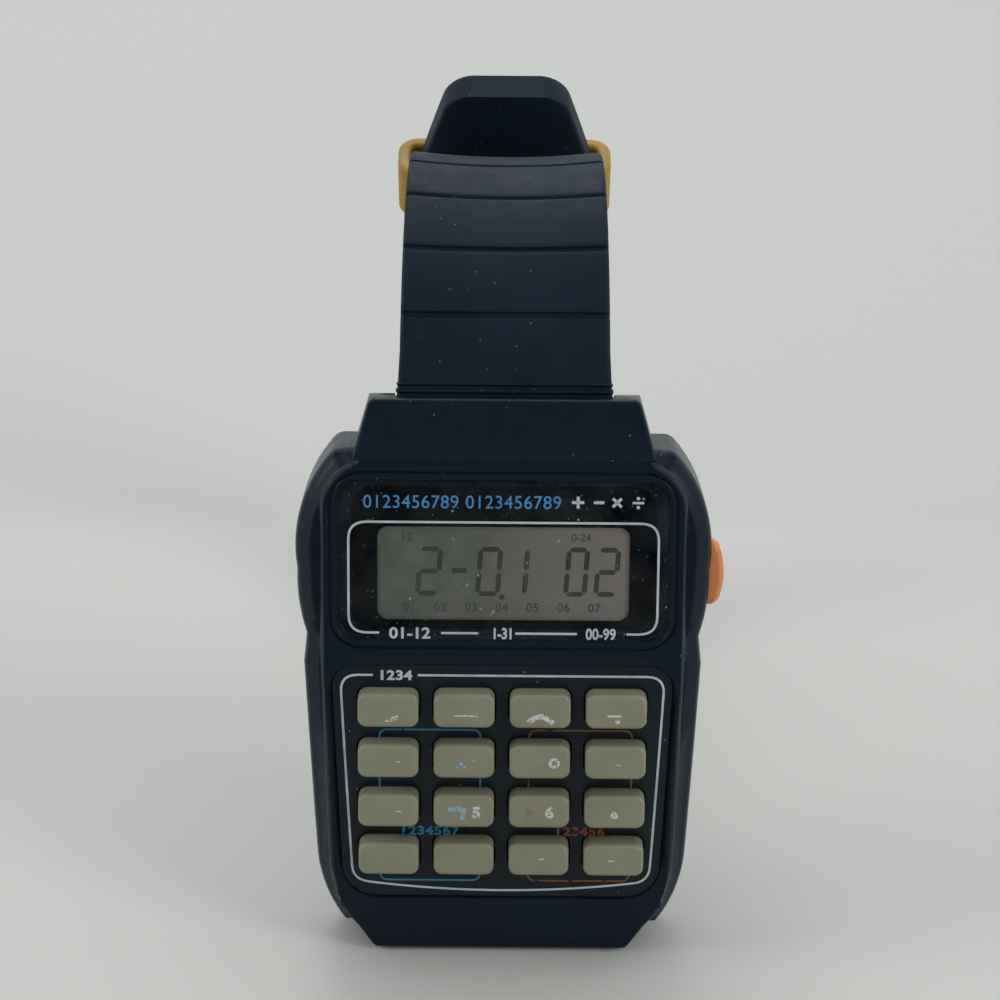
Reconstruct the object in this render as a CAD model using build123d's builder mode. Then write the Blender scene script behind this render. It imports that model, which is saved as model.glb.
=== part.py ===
from build123d import *
from math import atan2, cos, degrees, pi, radians, sin
import os

# A calculator watch standing on its closed strap, in millimetres: X runs across the strap, Z is up,
# and the face looks towards -Y. The origin is the middle of the flat run that the strap stands on.

# Fits
slide_gap = 0.1        # round a key or a push button
pin_gap = 0.05         # round a bar or a pin, on the radius
seat_gap = 0.05        # round a piece that is dropped into its seat
swing_gap = 0.25       # between a strap knuckle and the case
overrun = 2.0          # how far a cut runs past the face that it opens

# Stance
face_lean = 18         # degrees that the face leans back from upright
strap_back = 8.5       # degrees that the buckle half leaves the face plane, backwards

# Widths that the rest follows
strap_width = 18.0     # between the lugs
case_side = 8.1        # the case's widest point past the strap's side
wing_half = strap_width / 2 + case_side

# Case, measured up the face from the middle and inwards from the bezel
case_depth = 9.0       # bezel to the outside of the back plate
bend_start = 1.0       # the face is flat above this height and bends back below it
bend_radius = 129.0
wing_level = 8.0
wing_top = 18.3
wing_shoulder_in = 3.2
wing_shoulder = wing_half - wing_shoulder_in
waist_in = 0.75
waist_half = wing_half - waist_in
waist_level = 2.4
keypad_wing_in = 0.5
keypad_wing_half = wing_half - keypad_wing_in
foot_wing_in = 1.4
foot_wing_half = wing_half - foot_wing_in
foot_wing_level = -17.0
wing_end_in = 3.7
wing_end_half = wing_half - wing_end_in
wing_end = -24.0
wing_hip_in = 2.1
wing_hip_half = wing_half - wing_hip_in
wing_hip_level = -20.8
wing_bulge_in = 0.15
wing_bulge_half = wing_half - wing_bulge_in
wing_bulge_level = 5.0
wing_brow_in = 0.7
wing_brow_half = wing_half - wing_brow_in
wing_brow_level = 14.4
wing_drop = 1.0        # the wings lie this far behind the bezel
wing_bevel = 1.3
rim_slope = 0.5        # how squarely a front face looks out
side_slope = 0.1       # and how little a side does
bezel_in = 1.95
bezel_half = wing_half - bezel_in
bezel_top = 17.8
bezel_foot_in = 0.55
bezel_foot_half = bezel_half - bezel_foot_in
bezel_foot_level = -17.5
bezel_end_in = 2.95
bezel_end_half = bezel_half - bezel_end_in
bezel_end = -23.8
bezel_hip_in = 1.45
bezel_hip_half = bezel_half - bezel_hip_in
bezel_hip_level = -21.3
bezel_radius = 4.2
bezel_round = 0.4
crease_drop = 0.55     # step from the bezel down to the top shoulder
lug_width = 2.15       # beside the strap, at the top
shoulder_end_half = strap_width / 2 + lug_width
shoulder_flare = 1.3
shoulder_root_half = shoulder_end_half + shoulder_flare
shoulder_end = 22.3
shoulder_end_drop = 3.3
chin_start = -21.0
chin_crease = -24.3
chin_crease_drop = 3.1
chin_end = -26.1
chin_lug_width = 1.8
chin_end_half = strap_width / 2 + chin_lug_width
chin_end_drop = 3.7
end_radius = 0.8
rim_depth = 8.7        # the case's own back edge
wall = 2.0             # front wall of the case
side_wall = 3.9
cavity_half = wing_half - side_wall
cavity_top = 16.5
cavity_foot = -19.7
cavity_corner = 4.0    # cut off for the screws of the back, behind the keys
key_room = 3.5         # depth down to which the corners are left open for the keys

# Display
lens_in = 1.55
lens_half = bezel_half - lens_in
lens_foot = 2.6
lens_top = 16.2
lens_corner = 2.0
lens_thickness = 1.2
lens_bevel = 0.2
ring_margin = 0.55     # raised ring round the lens
ring_groove = 0.22
lens_ledge = 1.0
window_half = lens_half - lens_ledge
window_foot = 3.2
window_top = 15.5
mask_thickness = 0.15
lcd_window_in = 3.2
lcd_window_half = lens_half - lcd_window_in
lcd_window_foot = 4.0
lcd_window_top = 12.0
lcd_window_corner = 0.9
lcd_overlap = 1.1      # the cell past its window, at the sides
lcd_half = lcd_window_half + lcd_overlap
lcd_foot = 3.4
lcd_top = 13.2
lcd_thickness = 1.2
lcd_ledge = 0.5
lcd_corner = 0.25
reflector_half = lcd_half - lcd_ledge
reflector_thickness = 0.2
zebra_width = 1.2
zebra_in = 0.7
zebra_half = lcd_half - zebra_in

# Keypad
plate_top = 0.5
plate_in = 0.9
plate_half_top = bezel_half - plate_in
plate_foot_in = 1.25
plate_half_foot = bezel_foot_half - plate_foot_in
plate_foot = -20.7
plate_corner = 2.0
plate_foot_corner = 3.0
plate_thickness = 0.5
plate_sunk = 0.2       # the printed plate lies this far under the bezel
key_columns = 4
key_rows = 4
key_side = 1.375       # plate beside the outer keys, at its foot
key_gap_x = 1.25
key_gap_y = 1.51
key_length = 2.95
key_corner = 0.75
key_height = 1.45      # over the bezel face
key_bevel = 0.3
key_pitch_x = (2 * (plate_half_foot - key_side) + key_gap_x) / key_columns
key_width = key_pitch_x - key_gap_x
key_pitch_y = key_length + key_gap_y
key_first_row = -3.05
key_flange_margin = 0.4
key_flange_thickness = 0.6
key_travel = 0.5

# Module
board_top = 5.4        # depth of the circuit board's front
board_thickness = 0.6
membrane_thickness = 0.3
dome_width = 3.0        # rubber pads under the keys
dome_length = 1.8
dome_gap = 0.08        # under a fully pressed key
dome_taper = 12
board_margin = 0.2
module_in = 0.8
module_half = cavity_half - module_in
module_foot = 1.6
module_top = 15.4
battery_radius = 8.0
battery_thickness = 1.6
battery_level = 5.5
battery_step = 0.4
clip_thickness = 0.2
clip_width = 4.0
insulator_thickness = 0.1
blob_radius = 3.2
blob_height = 1.0
blob_taper = 40
blob_side = 5.5        # left of the middle
blob_level = -11.0
crystal_radius = 0.95
crystal_length = 6.0
crystal_in = 6.7
crystal_level = -15.5
chip_length = 1.6
chip_width = 0.8
chip_thickness = 0.6
chip_in = 3.7          # from the side of the cavity
chip_pitch = 3.5
chip_level = -6.5
chip_drop = 4.0
module_screw_radius = 0.5
module_screw_head = 0.9
module_screw_head_thickness = 0.4
module_screw_length = 1.8
module_screw_in = 2.5
module_screw_level = 14.3

# Back
plate_margin = 1.4     # back plate past the cavity, at the sides
plate_margin_end = 0.8 # back plate past the cavity, at the ends
back_thickness = 0.8
back_corner = 2.0
gasket_inset = 0.15
gasket_width = 0.5
gasket_height = 0.4
back_screw_radius = 0.5
back_screw_head = 0.95
back_screw_head_thickness = 0.45
back_screw_length = 3.0
screw_slot = 0.25
back_screw_in = 0.3    # from the sides of the cavity
back_screw_end_in = 0.6
piezo_radius = 6.0
piezo_thickness = 0.2
piezo_level = -9.0
piezo_post_radius = 0.5

# Push button
button_level = 7.65
button_depth = 4.0
button_length = 5.6
button_height = 2.2
button_corner = 1.0
button_bevel = 0.35
button_clip_bite = 0.15
button_reach = 1.25    # past the wing
button_cap_thickness = 1.45
button_pocket = 1.0
button_stem = 0.7
button_bore = 1.15
button_bore_depth = 2.5
button_bore_end = wing_half - button_bore_depth
button_stem_depth = 4.6
button_stem_end = wing_half - button_stem_depth
seal_thickness = 0.4
spring_wire = 0.18
spring_turns = 3
spring_length = 1.1
clip_ring_radius = 1.15
clip_ring_thickness = 0.2
notch_depth = 1.3
contact_thickness = 0.15
contact_depth = 5.65
contact_place = wing_half - contact_depth

# Strap seats
bar_12_up = 20.1       # from the middle of the face
bar_12_in = 6.6
bar_6_down = 23.4
bar_6_in = 6.8
bar_radius = 0.75
bar_tip_radius = 0.4
bar_tip = 1.1
knuckle_radius = 2.0
lug_radius = 1.9

# Strap
neck_step = 1.0
strap_neck_width = strap_width - neck_step
body_step = 1.4
strap_body_width = strap_width - body_step
strap_thickness = 2.6
strap_edge = 0.35
neck_length = 5.5      # over which the root narrows to the neck
lug_clearance = 0.15
root_length = 4.8
over_radius = 17.5     # outside of the buckle half's bend
shoulder_turn = 35
over_turn = 118.5
drop_length = 12.0
groove_width = 0.45
groove_depth = 0.35
groove_first = 8.3
groove_pitch = 5.6
buckle_half_grooves = 8
tail_half_grooves = 3
collar_length = 0.7
collar_height = 0.2
collar_start = 2.5
loop_overlap = 8.2     # of the loop's depth that the tail takes up behind the flat run
tail_flat = 2 * over_radius - loop_overlap
tail_rise_radius = 27.0
tail_rise_turn = 78
tail_back_radius = 60.0
tail_back_turn = 36
tip_taper_length = 10.5
tip_width = 10.4
tip_corner = 2.0
hole_count = 9
hole_pitch = 5.0
hole_first = 19.0      # from the tip
hole_width = 2.6
hole_length = 1.7

# Buckle
pin_radius = 0.65
pin_knuckle = 1.7
frame_play = 0.6
frame_opening = strap_body_width + frame_play
frame_arm = 1.3
frame_thickness = 1.8
frame_length = 9.5
frame_bar = 1.9
frame_end_radius = 1.6
frame_corner = 1.5
prong_width = 1.9
prong_thickness = 0.9
prong_gap = 0.15
prong_past = 1.0
prong_ring = 1.35

# Keeper
keeper_width = 5.4
keeper_wall = 1.2
keeper_side = 1.35
keeper_gap = 0.25
keeper_corner = 1.9
keeper_inner_corner = 0.6
keeper_turn = 24.7     # degrees along the tail's back curve

lean = radians(face_lean)
up = Vector(0, sin(lean), cos(lean))
out = Vector(0, -cos(lean), sin(lean))
bar_12 = (bar_12_up, -bar_12_in)
bar_6 = (-bar_6_down, -bar_6_in)
bar_6_place = Vector(0, -tail_flat / 2, knuckle_radius)
face_centre = bar_6_place - up * bar_6[0] - out * bar_6[1]
bar_12_place = face_centre + up * bar_12[0] + out * bar_12[1]
face_plane = Plane(face_centre, x_dir=(1, 0, 0), z_dir=out)
side_plane = Plane(face_centre, x_dir=up, z_dir=(1, 0, 0))
case_reach = 2 * wing_half
os.makedirs("parts", exist_ok=True)


def save(piece, name):
    """Label a finished piece and write it as its own node."""
    piece.label = name
    export_step(piece, f"parts/{name}.step")


def row_plane(distance, depth=0):
    """Plane on the bent face at a distance below its middle, measured along it, with a depth inwards."""
    turn = max(0, bend_start - distance) / bend_radius
    y = bend_start - bend_radius * sin(turn) if turn else distance
    z = bend_radius * (cos(turn) - 1)
    normal = out * cos(turn) - up * sin(turn)
    return Plane(face_centre + up * y + out * z - normal * depth, x_dir=(1, 0, 0), z_dir=normal)


def bent(y, depth):
    """Point of the side view on the surface that follows the bent face at a depth."""
    turn = max(0, bend_start - y) / bend_radius
    radius = bend_radius - depth
    return (bend_start - radius * sin(turn) if turn else y, radius * cos(turn) - bend_radius)


def bent_profile(near, foot, top, back=None, far=None):
    """Side view of what lies behind the bent face, down to a flat back or to a second bent face."""
    with BuildSketch() as profile:
        with BuildLine():
            ThreePointArc(bent(bend_start, near), bent((bend_start + foot) / 2, near), bent(foot, near))
            if far is None:
                Polyline(bent(foot, near), (bent(foot, near)[0], -back), (top, -back), (top, -near),
                         bent(bend_start, near))
            else:
                Line(bent(foot, near), bent(foot, far))
                ThreePointArc(bent(foot, far), bent((bend_start + foot) / 2, far), bent(bend_start, far))
                Polyline(bent(bend_start, far), (top, -far), (top, -near), bent(bend_start, near))
        make_face()
    return profile.sketch


def body_profile():
    """Side view of the case: top shoulder, flat display, bent keypad, chin, and lugs round both bars."""
    floor_side = (bar_6[0] - lug_radius * cos(lean), bar_6[1] - lug_radius * sin(lean))
    toe = (chin_end, floor_side[1] + (floor_side[0] - chin_end) / sin(lean) * cos(lean))
    with BuildSketch() as profile:
        with BuildLine():
            ThreePointArc(bent(bend_start, 0), bent((bend_start + chin_start) / 2, 0), bent(chin_start, 0))
            Polyline(bent(chin_start, 0), (chin_crease, -chin_crease_drop), (chin_end, -chin_end_drop), toe,
                     floor_side)
            heel = (bar_6[0] - lug_radius * cos(lean + pi / 4), bar_6[1] - lug_radius * sin(lean + pi / 4))
            ThreePointArc(floor_side, heel, (bar_6[0], bar_6[1] - lug_radius))
            Polyline((bar_6[0], bar_6[1] - lug_radius), (bar_6[0] + lug_radius, -rim_depth),
                     (bar_12[0] - lug_radius, -rim_depth), (bar_12[0], bar_12[1] - lug_radius))
            tip = (bar_12[0] + lug_radius * cos(pi / 4), bar_12[1] - lug_radius * sin(pi / 4))
            ThreePointArc((bar_12[0], bar_12[1] - lug_radius), tip, (bar_12[0] + lug_radius, bar_12[1]))
            Polyline((bar_12[0] + lug_radius, bar_12[1]), (shoulder_end, bar_12[1] + knuckle_radius),
                     (shoulder_end, -shoulder_end_drop), (bezel_top, -crease_drop), (bezel_top, 0),
                     bent(bend_start, 0))
        make_face()
    return profile.sketch


def plan_block(profile, plan):
    """The solid whose side view is the profile and whose front view is the plan."""
    with BuildPart() as block:
        with BuildSketch(side_plane):
            add(profile)
        extrude(amount=case_reach, both=True)
        with BuildSketch(face_plane):
            add(plan)
        extrude(amount=case_reach, both=True, mode=Mode.INTERSECT)
    return block


def slab(plan, near, far):
    """The plan as a flat solid between two depths behind the bezel."""
    with BuildPart() as solid:
        with BuildSketch(face_plane.offset(-near)):
            add(plan)
        extrude(amount=near - far)
    return solid.part


def rounded(half, foot, top, corner):
    """Front view of an upright rounded rectangle, centred across the case."""
    with BuildSketch() as plan:
        with Locations((0, (foot + top) / 2)):
            RectangleRounded(2 * half, top - foot, corner)
    return plan.sketch


def front_rim(block):
    """Edges where the front of a block of the case meets its sides."""
    fronts = block.faces().filter_by(lambda f: f.normal_at().dot(out) > rim_slope)
    sides = block.faces().filter_by(lambda f: abs(f.normal_at().dot(out)) < side_slope)
    side_edges = sides.edges()
    return fronts.edges().filter_by(lambda e: any(e.is_same(s) for s in side_edges))


def wing_plan():
    """Front view of the wings: shoulders and bulges beside the display, then a taper down the keypad."""
    with BuildSketch() as plan:
        with BuildLine():
            Line((0, wing_end), (wing_end_half, wing_end))
            ThreePointArc((wing_end_half, wing_end), (wing_hip_half, wing_hip_level),
                          (foot_wing_half, foot_wing_level))
            Polyline((foot_wing_half, foot_wing_level), (keypad_wing_half, 0), (waist_half, waist_level))
            ThreePointArc((waist_half, waist_level), (wing_bulge_half, wing_bulge_level), (wing_half, wing_level))
            ThreePointArc((wing_half, wing_level), (wing_brow_half, wing_brow_level), (wing_shoulder, wing_top))
            Line((wing_shoulder, wing_top), (0, wing_top))
            mirror(about=Plane.YZ)
        make_face()
    return plan.sketch


def body_plan():
    """Front view of the raised body: bezel with round top corners, top shoulder and chin."""
    with BuildSketch() as plan:
        with BuildLine():
            Polyline((0, chin_end), (chin_end_half, chin_end), (bezel_end_half, bezel_end))
            ThreePointArc((bezel_end_half, bezel_end), (bezel_hip_half, bezel_hip_level),
                          (bezel_foot_half, bezel_foot_level))
            Polyline((bezel_foot_half, bezel_foot_level), (bezel_half, bend_start), (bezel_half, bezel_top),
                     (0, bezel_top))
            mirror(about=Plane.YZ)
        make_face()
        fillet(plan.vertices().group_by(Axis.Y)[-1], radius=bezel_radius)
        with BuildLine():
            Polyline((0, bend_start), (shoulder_root_half, bend_start), (shoulder_root_half, bezel_top),
                     (shoulder_end_half, shoulder_end), (0, shoulder_end))
            mirror(about=Plane.YZ)
        make_face()
        fillet(plan.vertices().group_by(Axis.Y)[-1], radius=end_radius)
        fillet(plan.vertices().group_by(Axis.Y)[0], radius=end_radius)
    return plan.sketch


def keypad_plan(margin=0):
    """Front view of the keypad plate: a trapezoid with larger corners at its foot."""
    with BuildSketch() as plan:
        with BuildLine():
            Polyline((-plate_half_foot, plate_foot), (plate_half_foot, plate_foot), (plate_half_top, plate_top),
                     (-plate_half_top, plate_top), close=True)
        make_face()
        fillet(plan.vertices().group_by(Axis.Y)[-1], radius=plate_corner)
        fillet(plan.vertices().group_by(Axis.Y)[0], radius=plate_foot_corner)
        if margin:
            offset(amount=margin)
    return plan.sketch


def cavity_plan(margin=0):
    """Front view of the case's inside, whose cut corners leave room for the back's screws."""
    with BuildSketch() as plan:
        with Locations((0, (cavity_foot + cavity_top) / 2)):
            Rectangle(2 * cavity_half, cavity_top - cavity_foot)
        chamfer(plan.vertices(), length=cavity_corner)
        if margin:
            offset(amount=margin, kind=Kind.INTERSECTION)
    return plan.sketch


def slot_profile(bar, end):
    """Side view of the gap for a strap knuckle between the lugs, open at the end and at the back."""
    radius = knuckle_radius + swing_gap
    away = 1 if end > bar[0] else -1
    with BuildSketch() as profile:
        with Locations(bar):
            Circle(radius)
        with BuildLine():
            Polyline((bar[0], bar[1] + radius), (end + away * overrun, bar[1] + radius),
                     (end + away * overrun, -rim_depth - overrun), (bar[0] - away * radius, -rim_depth - overrun),
                     (bar[0] - away * radius, bar[1]), (bar[0], bar[1]), close=True)
        make_face()
    return profile.sketch


def back_screw_places(depth):
    """Where the four screws of the back stand, just inside its corners, with a depth behind the bezel."""
    x = cavity_half - back_screw_in
    return [face_plane.offset(-depth).location * Location((side * x, y, 0)) for side in (-1, 1)
            for y in (cavity_foot + back_screw_end_in, cavity_top - back_screw_end_in)]


def button_plane(x):
    """Plane across the push button at a distance from the watch's middle, looking outwards."""
    place = face_centre + up * button_level - out * button_depth
    return Plane((x, place.Y, place.Z), x_dir=up, z_dir=(1, 0, 0))


key_rows_at = [key_first_row - key_pitch_y * row for row in range(key_rows)]
seat_depth = lens_thickness + seat_gap
mask_depth = seat_depth + mask_thickness
lcd_depth = mask_depth + seat_gap
reflector_depth = lcd_depth + lcd_thickness
board_back = board_top + board_thickness
back_depth = case_depth - back_thickness
plate_depth = plate_sunk + plate_thickness

wings = plan_block(bent_profile(wing_drop, wing_end - overrun, wing_top, back=rim_depth), wing_plan())
with wings:
    chamfer(front_rim(wings), length=wing_bevel)

body = plan_block(body_profile(), body_plan())
with body:
    level = lambda edge: face_plane.to_local_coords(edge.center()).Y
    chamfer(front_rim(body).filter_by(lambda e: chin_start < level(e) < bezel_top - seat_gap), length=bezel_round)

with BuildPart() as case:
    add(wings.part)
    add(body.part)
    # Seats and windows in the front
    lens_seat = rounded(lens_half + seat_gap, lens_foot - seat_gap, lens_top + seat_gap, lens_corner)
    add(slab(lens_seat, -overrun, seat_depth), mode=Mode.SUBTRACT)
    add(slab(rounded(window_half, window_foot, window_top, lens_corner), 0, wall + overrun), mode=Mode.SUBTRACT)
    with BuildSketch(face_plane) as ring:
        add(rounded(lens_half + ring_margin + ring_groove, lens_foot - ring_margin - ring_groove,
                    lens_top + ring_margin + ring_groove, lens_corner + ring_margin + ring_groove))
        add(rounded(lens_half + ring_margin, lens_foot - ring_margin, lens_top + ring_margin,
                    lens_corner + ring_margin), mode=Mode.SUBTRACT)
    extrude(amount=-ring_groove, mode=Mode.SUBTRACT)
    recess = plan_block(bent_profile(-overrun, chin_end, lens_top, far=plate_depth), keypad_plan(seat_gap))
    add(recess.part, mode=Mode.SUBTRACT)
    # The inside, the seat of the back and its gasket
    cavity = plan_block(bent_profile(wall, cavity_foot - overrun, cavity_top, back=rim_depth + overrun),
                        cavity_plan())
    add(cavity.part, mode=Mode.SUBTRACT)
    room = plan_block(bent_profile(wall, cavity_foot - overrun, module_foot, far=key_room),
                      rounded(cavity_half, cavity_foot, module_foot, key_corner))
    add(room.part, mode=Mode.SUBTRACT)
    back_seat = rounded(cavity_half + plate_margin + seat_gap, cavity_foot - plate_margin_end - seat_gap,
                        cavity_top + plate_margin_end + seat_gap, back_corner)
    add(slab(back_seat, back_depth, rim_depth + overrun), mode=Mode.SUBTRACT)
    with BuildSketch(face_plane.offset(-back_depth)):
        add(cavity_plan(gasket_inset + gasket_width))
        add(cavity_plan(gasket_inset), mode=Mode.SUBTRACT)
    extrude(amount=gasket_height, mode=Mode.SUBTRACT)
    with Locations(*back_screw_places(back_depth)):
        Cylinder(back_screw_radius + pin_gap, back_screw_length, align=(Align.CENTER, Align.CENTER, Align.MIN),
                 mode=Mode.SUBTRACT)
    # Key holes, whose rounded rims are in the plate over them
    for distance in key_rows_at:
        with BuildSketch(row_plane(distance)):
            with GridLocations(key_pitch_x, 0, key_columns, 1):
                Rectangle(key_width + 2 * slide_gap, key_length + 2 * slide_gap)
        extrude(amount=wall + overrun, both=True, mode=Mode.SUBTRACT)
    # Strap slots, and blind holes in the lugs for the ends of the bars
    for bar, end in ((bar_12, shoulder_end), (bar_6, chin_end)):
        with BuildSketch(side_plane):
            add(slot_profile(bar, end))
        extrude(amount=strap_width / 2 + lug_clearance, both=True, mode=Mode.SUBTRACT)
        with BuildSketch(side_plane):
            with Locations(bar):
                Circle(bar_tip_radius + pin_gap)
        extrude(amount=strap_width / 2 + bar_tip + pin_gap, both=True, mode=Mode.SUBTRACT)
    # Pocket, bore and hole of the push button
    with BuildSketch(button_plane(wing_half - button_pocket)):
        RectangleRounded(button_length + 2 * slide_gap, button_height + 2 * slide_gap, button_corner + slide_gap)
    extrude(amount=case_reach, mode=Mode.SUBTRACT)
    with BuildSketch(button_plane(button_bore_end)):
        Circle(button_bore)
    extrude(amount=case_reach, mode=Mode.SUBTRACT)
    with BuildSketch(button_plane(button_stem_end)):
        Circle(button_stem + slide_gap)
    extrude(amount=case_reach, mode=Mode.SUBTRACT)
save(case.part, "case")

with BuildPart() as keypad_plate:
    band = plan_block(bent_profile(plate_sunk, chin_end, lens_top, far=plate_depth), keypad_plan())
    add(band.part)
    for distance in key_rows_at:
        with BuildSketch(row_plane(distance)):
            with GridLocations(key_pitch_x, 0, key_columns, 1):
                RectangleRounded(key_width + 2 * slide_gap, key_length + 2 * slide_gap, key_corner)
        extrude(amount=wall, both=True, mode=Mode.SUBTRACT)
save(keypad_plate.part, "keypad_plate")

# Display stack, from the lens inwards
with BuildPart() as display_lens:
    add(slab(rounded(lens_half, lens_foot, lens_top, lens_corner), seat_gap, seat_depth))
    chamfer(front_rim(display_lens), length=lens_bevel)
save(display_lens.part, "display_lens")

with BuildPart() as display_mask:
    mask = rounded(window_half - seat_gap, window_foot + seat_gap, window_top - seat_gap, lens_corner)
    add(slab(mask, seat_depth, mask_depth))
    add(slab(rounded(lcd_window_half, lcd_window_foot, lcd_window_top, lcd_window_corner), 0, wall),
        mode=Mode.SUBTRACT)
save(display_mask.part, "display_mask")

with BuildPart() as lcd_cell:
    lcd_middle = (lcd_depth + reflector_depth) / 2
    add(slab(rounded(lcd_half, lcd_foot + lcd_ledge, lcd_top - lcd_ledge, lcd_corner), lcd_depth, lcd_middle))
    add(slab(rounded(lcd_half, lcd_foot, lcd_top, lcd_corner), lcd_middle, reflector_depth))
save(lcd_cell.part, "lcd_cell")

with BuildPart() as lcd_reflector:
    inset = zebra_width + 2 * lcd_ledge
    add(slab(rounded(reflector_half, lcd_foot + inset, lcd_top - inset, lcd_corner), reflector_depth,
             reflector_depth + reflector_thickness))
save(lcd_reflector.part, "lcd_reflector")

zebra_levels = {"lower": lcd_foot + seat_gap, "upper": lcd_top - seat_gap - zebra_width}
for place, foot in zebra_levels.items():
    with BuildPart() as zebra:
        add(slab(rounded(zebra_half, foot, foot + zebra_width, lcd_corner), reflector_depth, board_top))
    save(zebra.part, f"zebra_strip_{place}")

module_screws_at = [(side * (module_half - module_screw_in), module_screw_level) for side in (-1, 1)]

with BuildPart() as module_frame:
    add(slab(rounded(module_half, module_foot, module_top, lcd_window_corner), wall + seat_gap, board_top))
    add(slab(cavity_plan(-board_margin), 0, board_back), mode=Mode.INTERSECT)
    lcd_pocket = rounded(lcd_half + seat_gap, lcd_foot - seat_gap, lcd_top + seat_gap, lcd_corner)
    add(slab(lcd_pocket, 0, reflector_depth + reflector_thickness), mode=Mode.SUBTRACT)
    for foot in zebra_levels.values():
        slot = rounded(zebra_half + seat_gap, foot - seat_gap, foot + zebra_width + seat_gap, lcd_corner)
        add(slab(slot, 0, board_back), mode=Mode.SUBTRACT)
    with BuildSketch(button_plane(module_half - notch_depth)):
        Rectangle(2 * (clip_ring_radius + seat_gap), 2 * (board_top - button_depth))
    extrude(amount=case_reach, mode=Mode.SUBTRACT)
    with BuildSketch(face_plane.offset(-board_top)):
        with Locations(*module_screws_at):
            Circle(module_screw_radius + pin_gap)
    extrude(amount=module_screw_length, mode=Mode.SUBTRACT)
save(module_frame.part, "module_frame")

# Circuit board and what stands on it
with BuildPart() as circuit_board:
    add(slab(cavity_plan(-board_margin), board_top, board_back))
    with BuildSketch(face_plane.offset(-board_top)):
        with Locations(*module_screws_at):
            Circle(module_screw_radius + pin_gap)
    extrude(amount=-board_thickness, mode=Mode.SUBTRACT)
save(circuit_board.part, "circuit_board")

with BuildPart() as module_screws:
    with BuildSketch(face_plane.offset(-board_back)):
        with Locations(*module_screws_at):
            Circle(module_screw_head)
    extrude(amount=-module_screw_head_thickness)
    with BuildSketch(face_plane.offset(-board_back)):
        with Locations(*module_screws_at):
            Circle(module_screw_radius)
    extrude(amount=module_screw_length)
save(module_screws.part, "module_screws")

pressed_depth = wall + seat_gap + key_flange_thickness + key_travel
membrane_top = board_top - membrane_thickness
with BuildPart() as keypad_membrane:
    sheet_top = key_rows_at[0] + key_length / 2
    add(slab(cavity_plan(-board_margin), membrane_top, board_top))
    add(slab(rounded(cavity_half, cavity_foot, sheet_top, key_corner), 0, board_back), mode=Mode.INTERSECT)
    for distance in key_rows_at:
        turn = (bend_start - distance) / bend_radius
        foot = face_plane.to_local_coords(row_plane(distance, pressed_depth).origin)
        dome_top = -foot.Z + dome_length / 2 * sin(turn) + dome_gap
        with BuildSketch(face_plane.offset(-membrane_top)):
            with Locations((0, foot.Y)):
                with GridLocations(key_pitch_x, 0, key_columns, 1):
                    Rectangle(dome_width, dome_length)
        extrude(amount=membrane_top - dome_top, taper=dome_taper)
save(keypad_membrane.part, "keypad_membrane")

with BuildPart() as chip_blob:
    with BuildSketch(face_plane.offset(-board_back)):
        with Locations((-blob_side, blob_level)):
            Circle(blob_radius)
    extrude(amount=-blob_height, taper=blob_taper)
save(chip_blob.part, "chip_blob")

with BuildPart() as quartz_crystal:
    depth = board_back + crystal_radius
    crystal_centre = face_plane.offset(-depth).from_local_coords((cavity_half - crystal_in, crystal_level))
    with Locations(Plane(crystal_centre, z_dir=(1, 0, 0)).location):
        Cylinder(crystal_radius, crystal_length)
save(quartz_crystal.part, "quartz_crystal")

with BuildPart() as chip_capacitors:
    with BuildSketch(face_plane.offset(-board_back)):
        chip_x = cavity_half - chip_in
        with Locations((chip_x - 2 * chip_pitch, chip_level), (chip_x - chip_pitch, chip_level), (chip_x, chip_level),
                       (chip_x, chip_level - chip_drop)):
            Rectangle(chip_length, chip_width)
    extrude(amount=-chip_thickness)
save(chip_capacitors.part, "chip_capacitors")

battery_top = board_back + seat_gap
battery_back = battery_top + battery_thickness
with BuildPart() as battery:
    with BuildSketch(face_plane.offset(-battery_top)):
        with Locations((0, battery_level)):
            Circle(battery_radius - battery_step)
    extrude(amount=-battery_step)
    with BuildSketch(face_plane.offset(-battery_top - battery_step)):
        with Locations((0, battery_level)):
            Circle(battery_radius)
    extrude(amount=battery_step - battery_thickness)
save(battery.part, "battery")

clip_depth = battery_back + seat_gap
with BuildPart() as battery_clip:
    across = Plane(face_centre + up * battery_level, x_dir=(1, 0, 0), z_dir=up)
    outer, inner = battery_radius + 2 * clip_thickness + seat_gap, battery_radius + clip_thickness + seat_gap
    with BuildSketch(across):
        with Locations((0, (board_back + clip_depth + clip_thickness) / 2)):
            Rectangle(2 * outer, clip_depth + clip_thickness - board_back)
        with Locations((0, (board_back + clip_depth) / 2)):
            Rectangle(2 * inner, clip_depth - board_back, mode=Mode.SUBTRACT)
    extrude(amount=clip_width / 2, both=True)
save(battery_clip.part, "battery_clip")

with BuildPart() as battery_insulator:
    with BuildSketch(face_plane.offset(-clip_depth - clip_thickness)):
        with Locations((0, battery_level)):
            Circle(battery_radius)
    extrude(amount=-insulator_thickness)
save(battery_insulator.part, "battery_insulator")

# Back plate, its gasket and screws, and the buzzer on its inside
with BuildPart() as case_back:
    add(slab(rounded(cavity_half + plate_margin, cavity_foot - plate_margin_end, cavity_top + plate_margin_end,
                     back_corner), back_depth, case_depth))
    with Locations(*back_screw_places(case_depth)):
        Cylinder(back_screw_head + pin_gap, back_screw_head_thickness,
                 align=(Align.CENTER, Align.CENTER, Align.MIN), mode=Mode.SUBTRACT)
        Cylinder(back_screw_radius + pin_gap, back_thickness, align=(Align.CENTER, Align.CENTER, Align.MIN),
                 mode=Mode.SUBTRACT)
save(case_back.part, "case_back")

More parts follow.
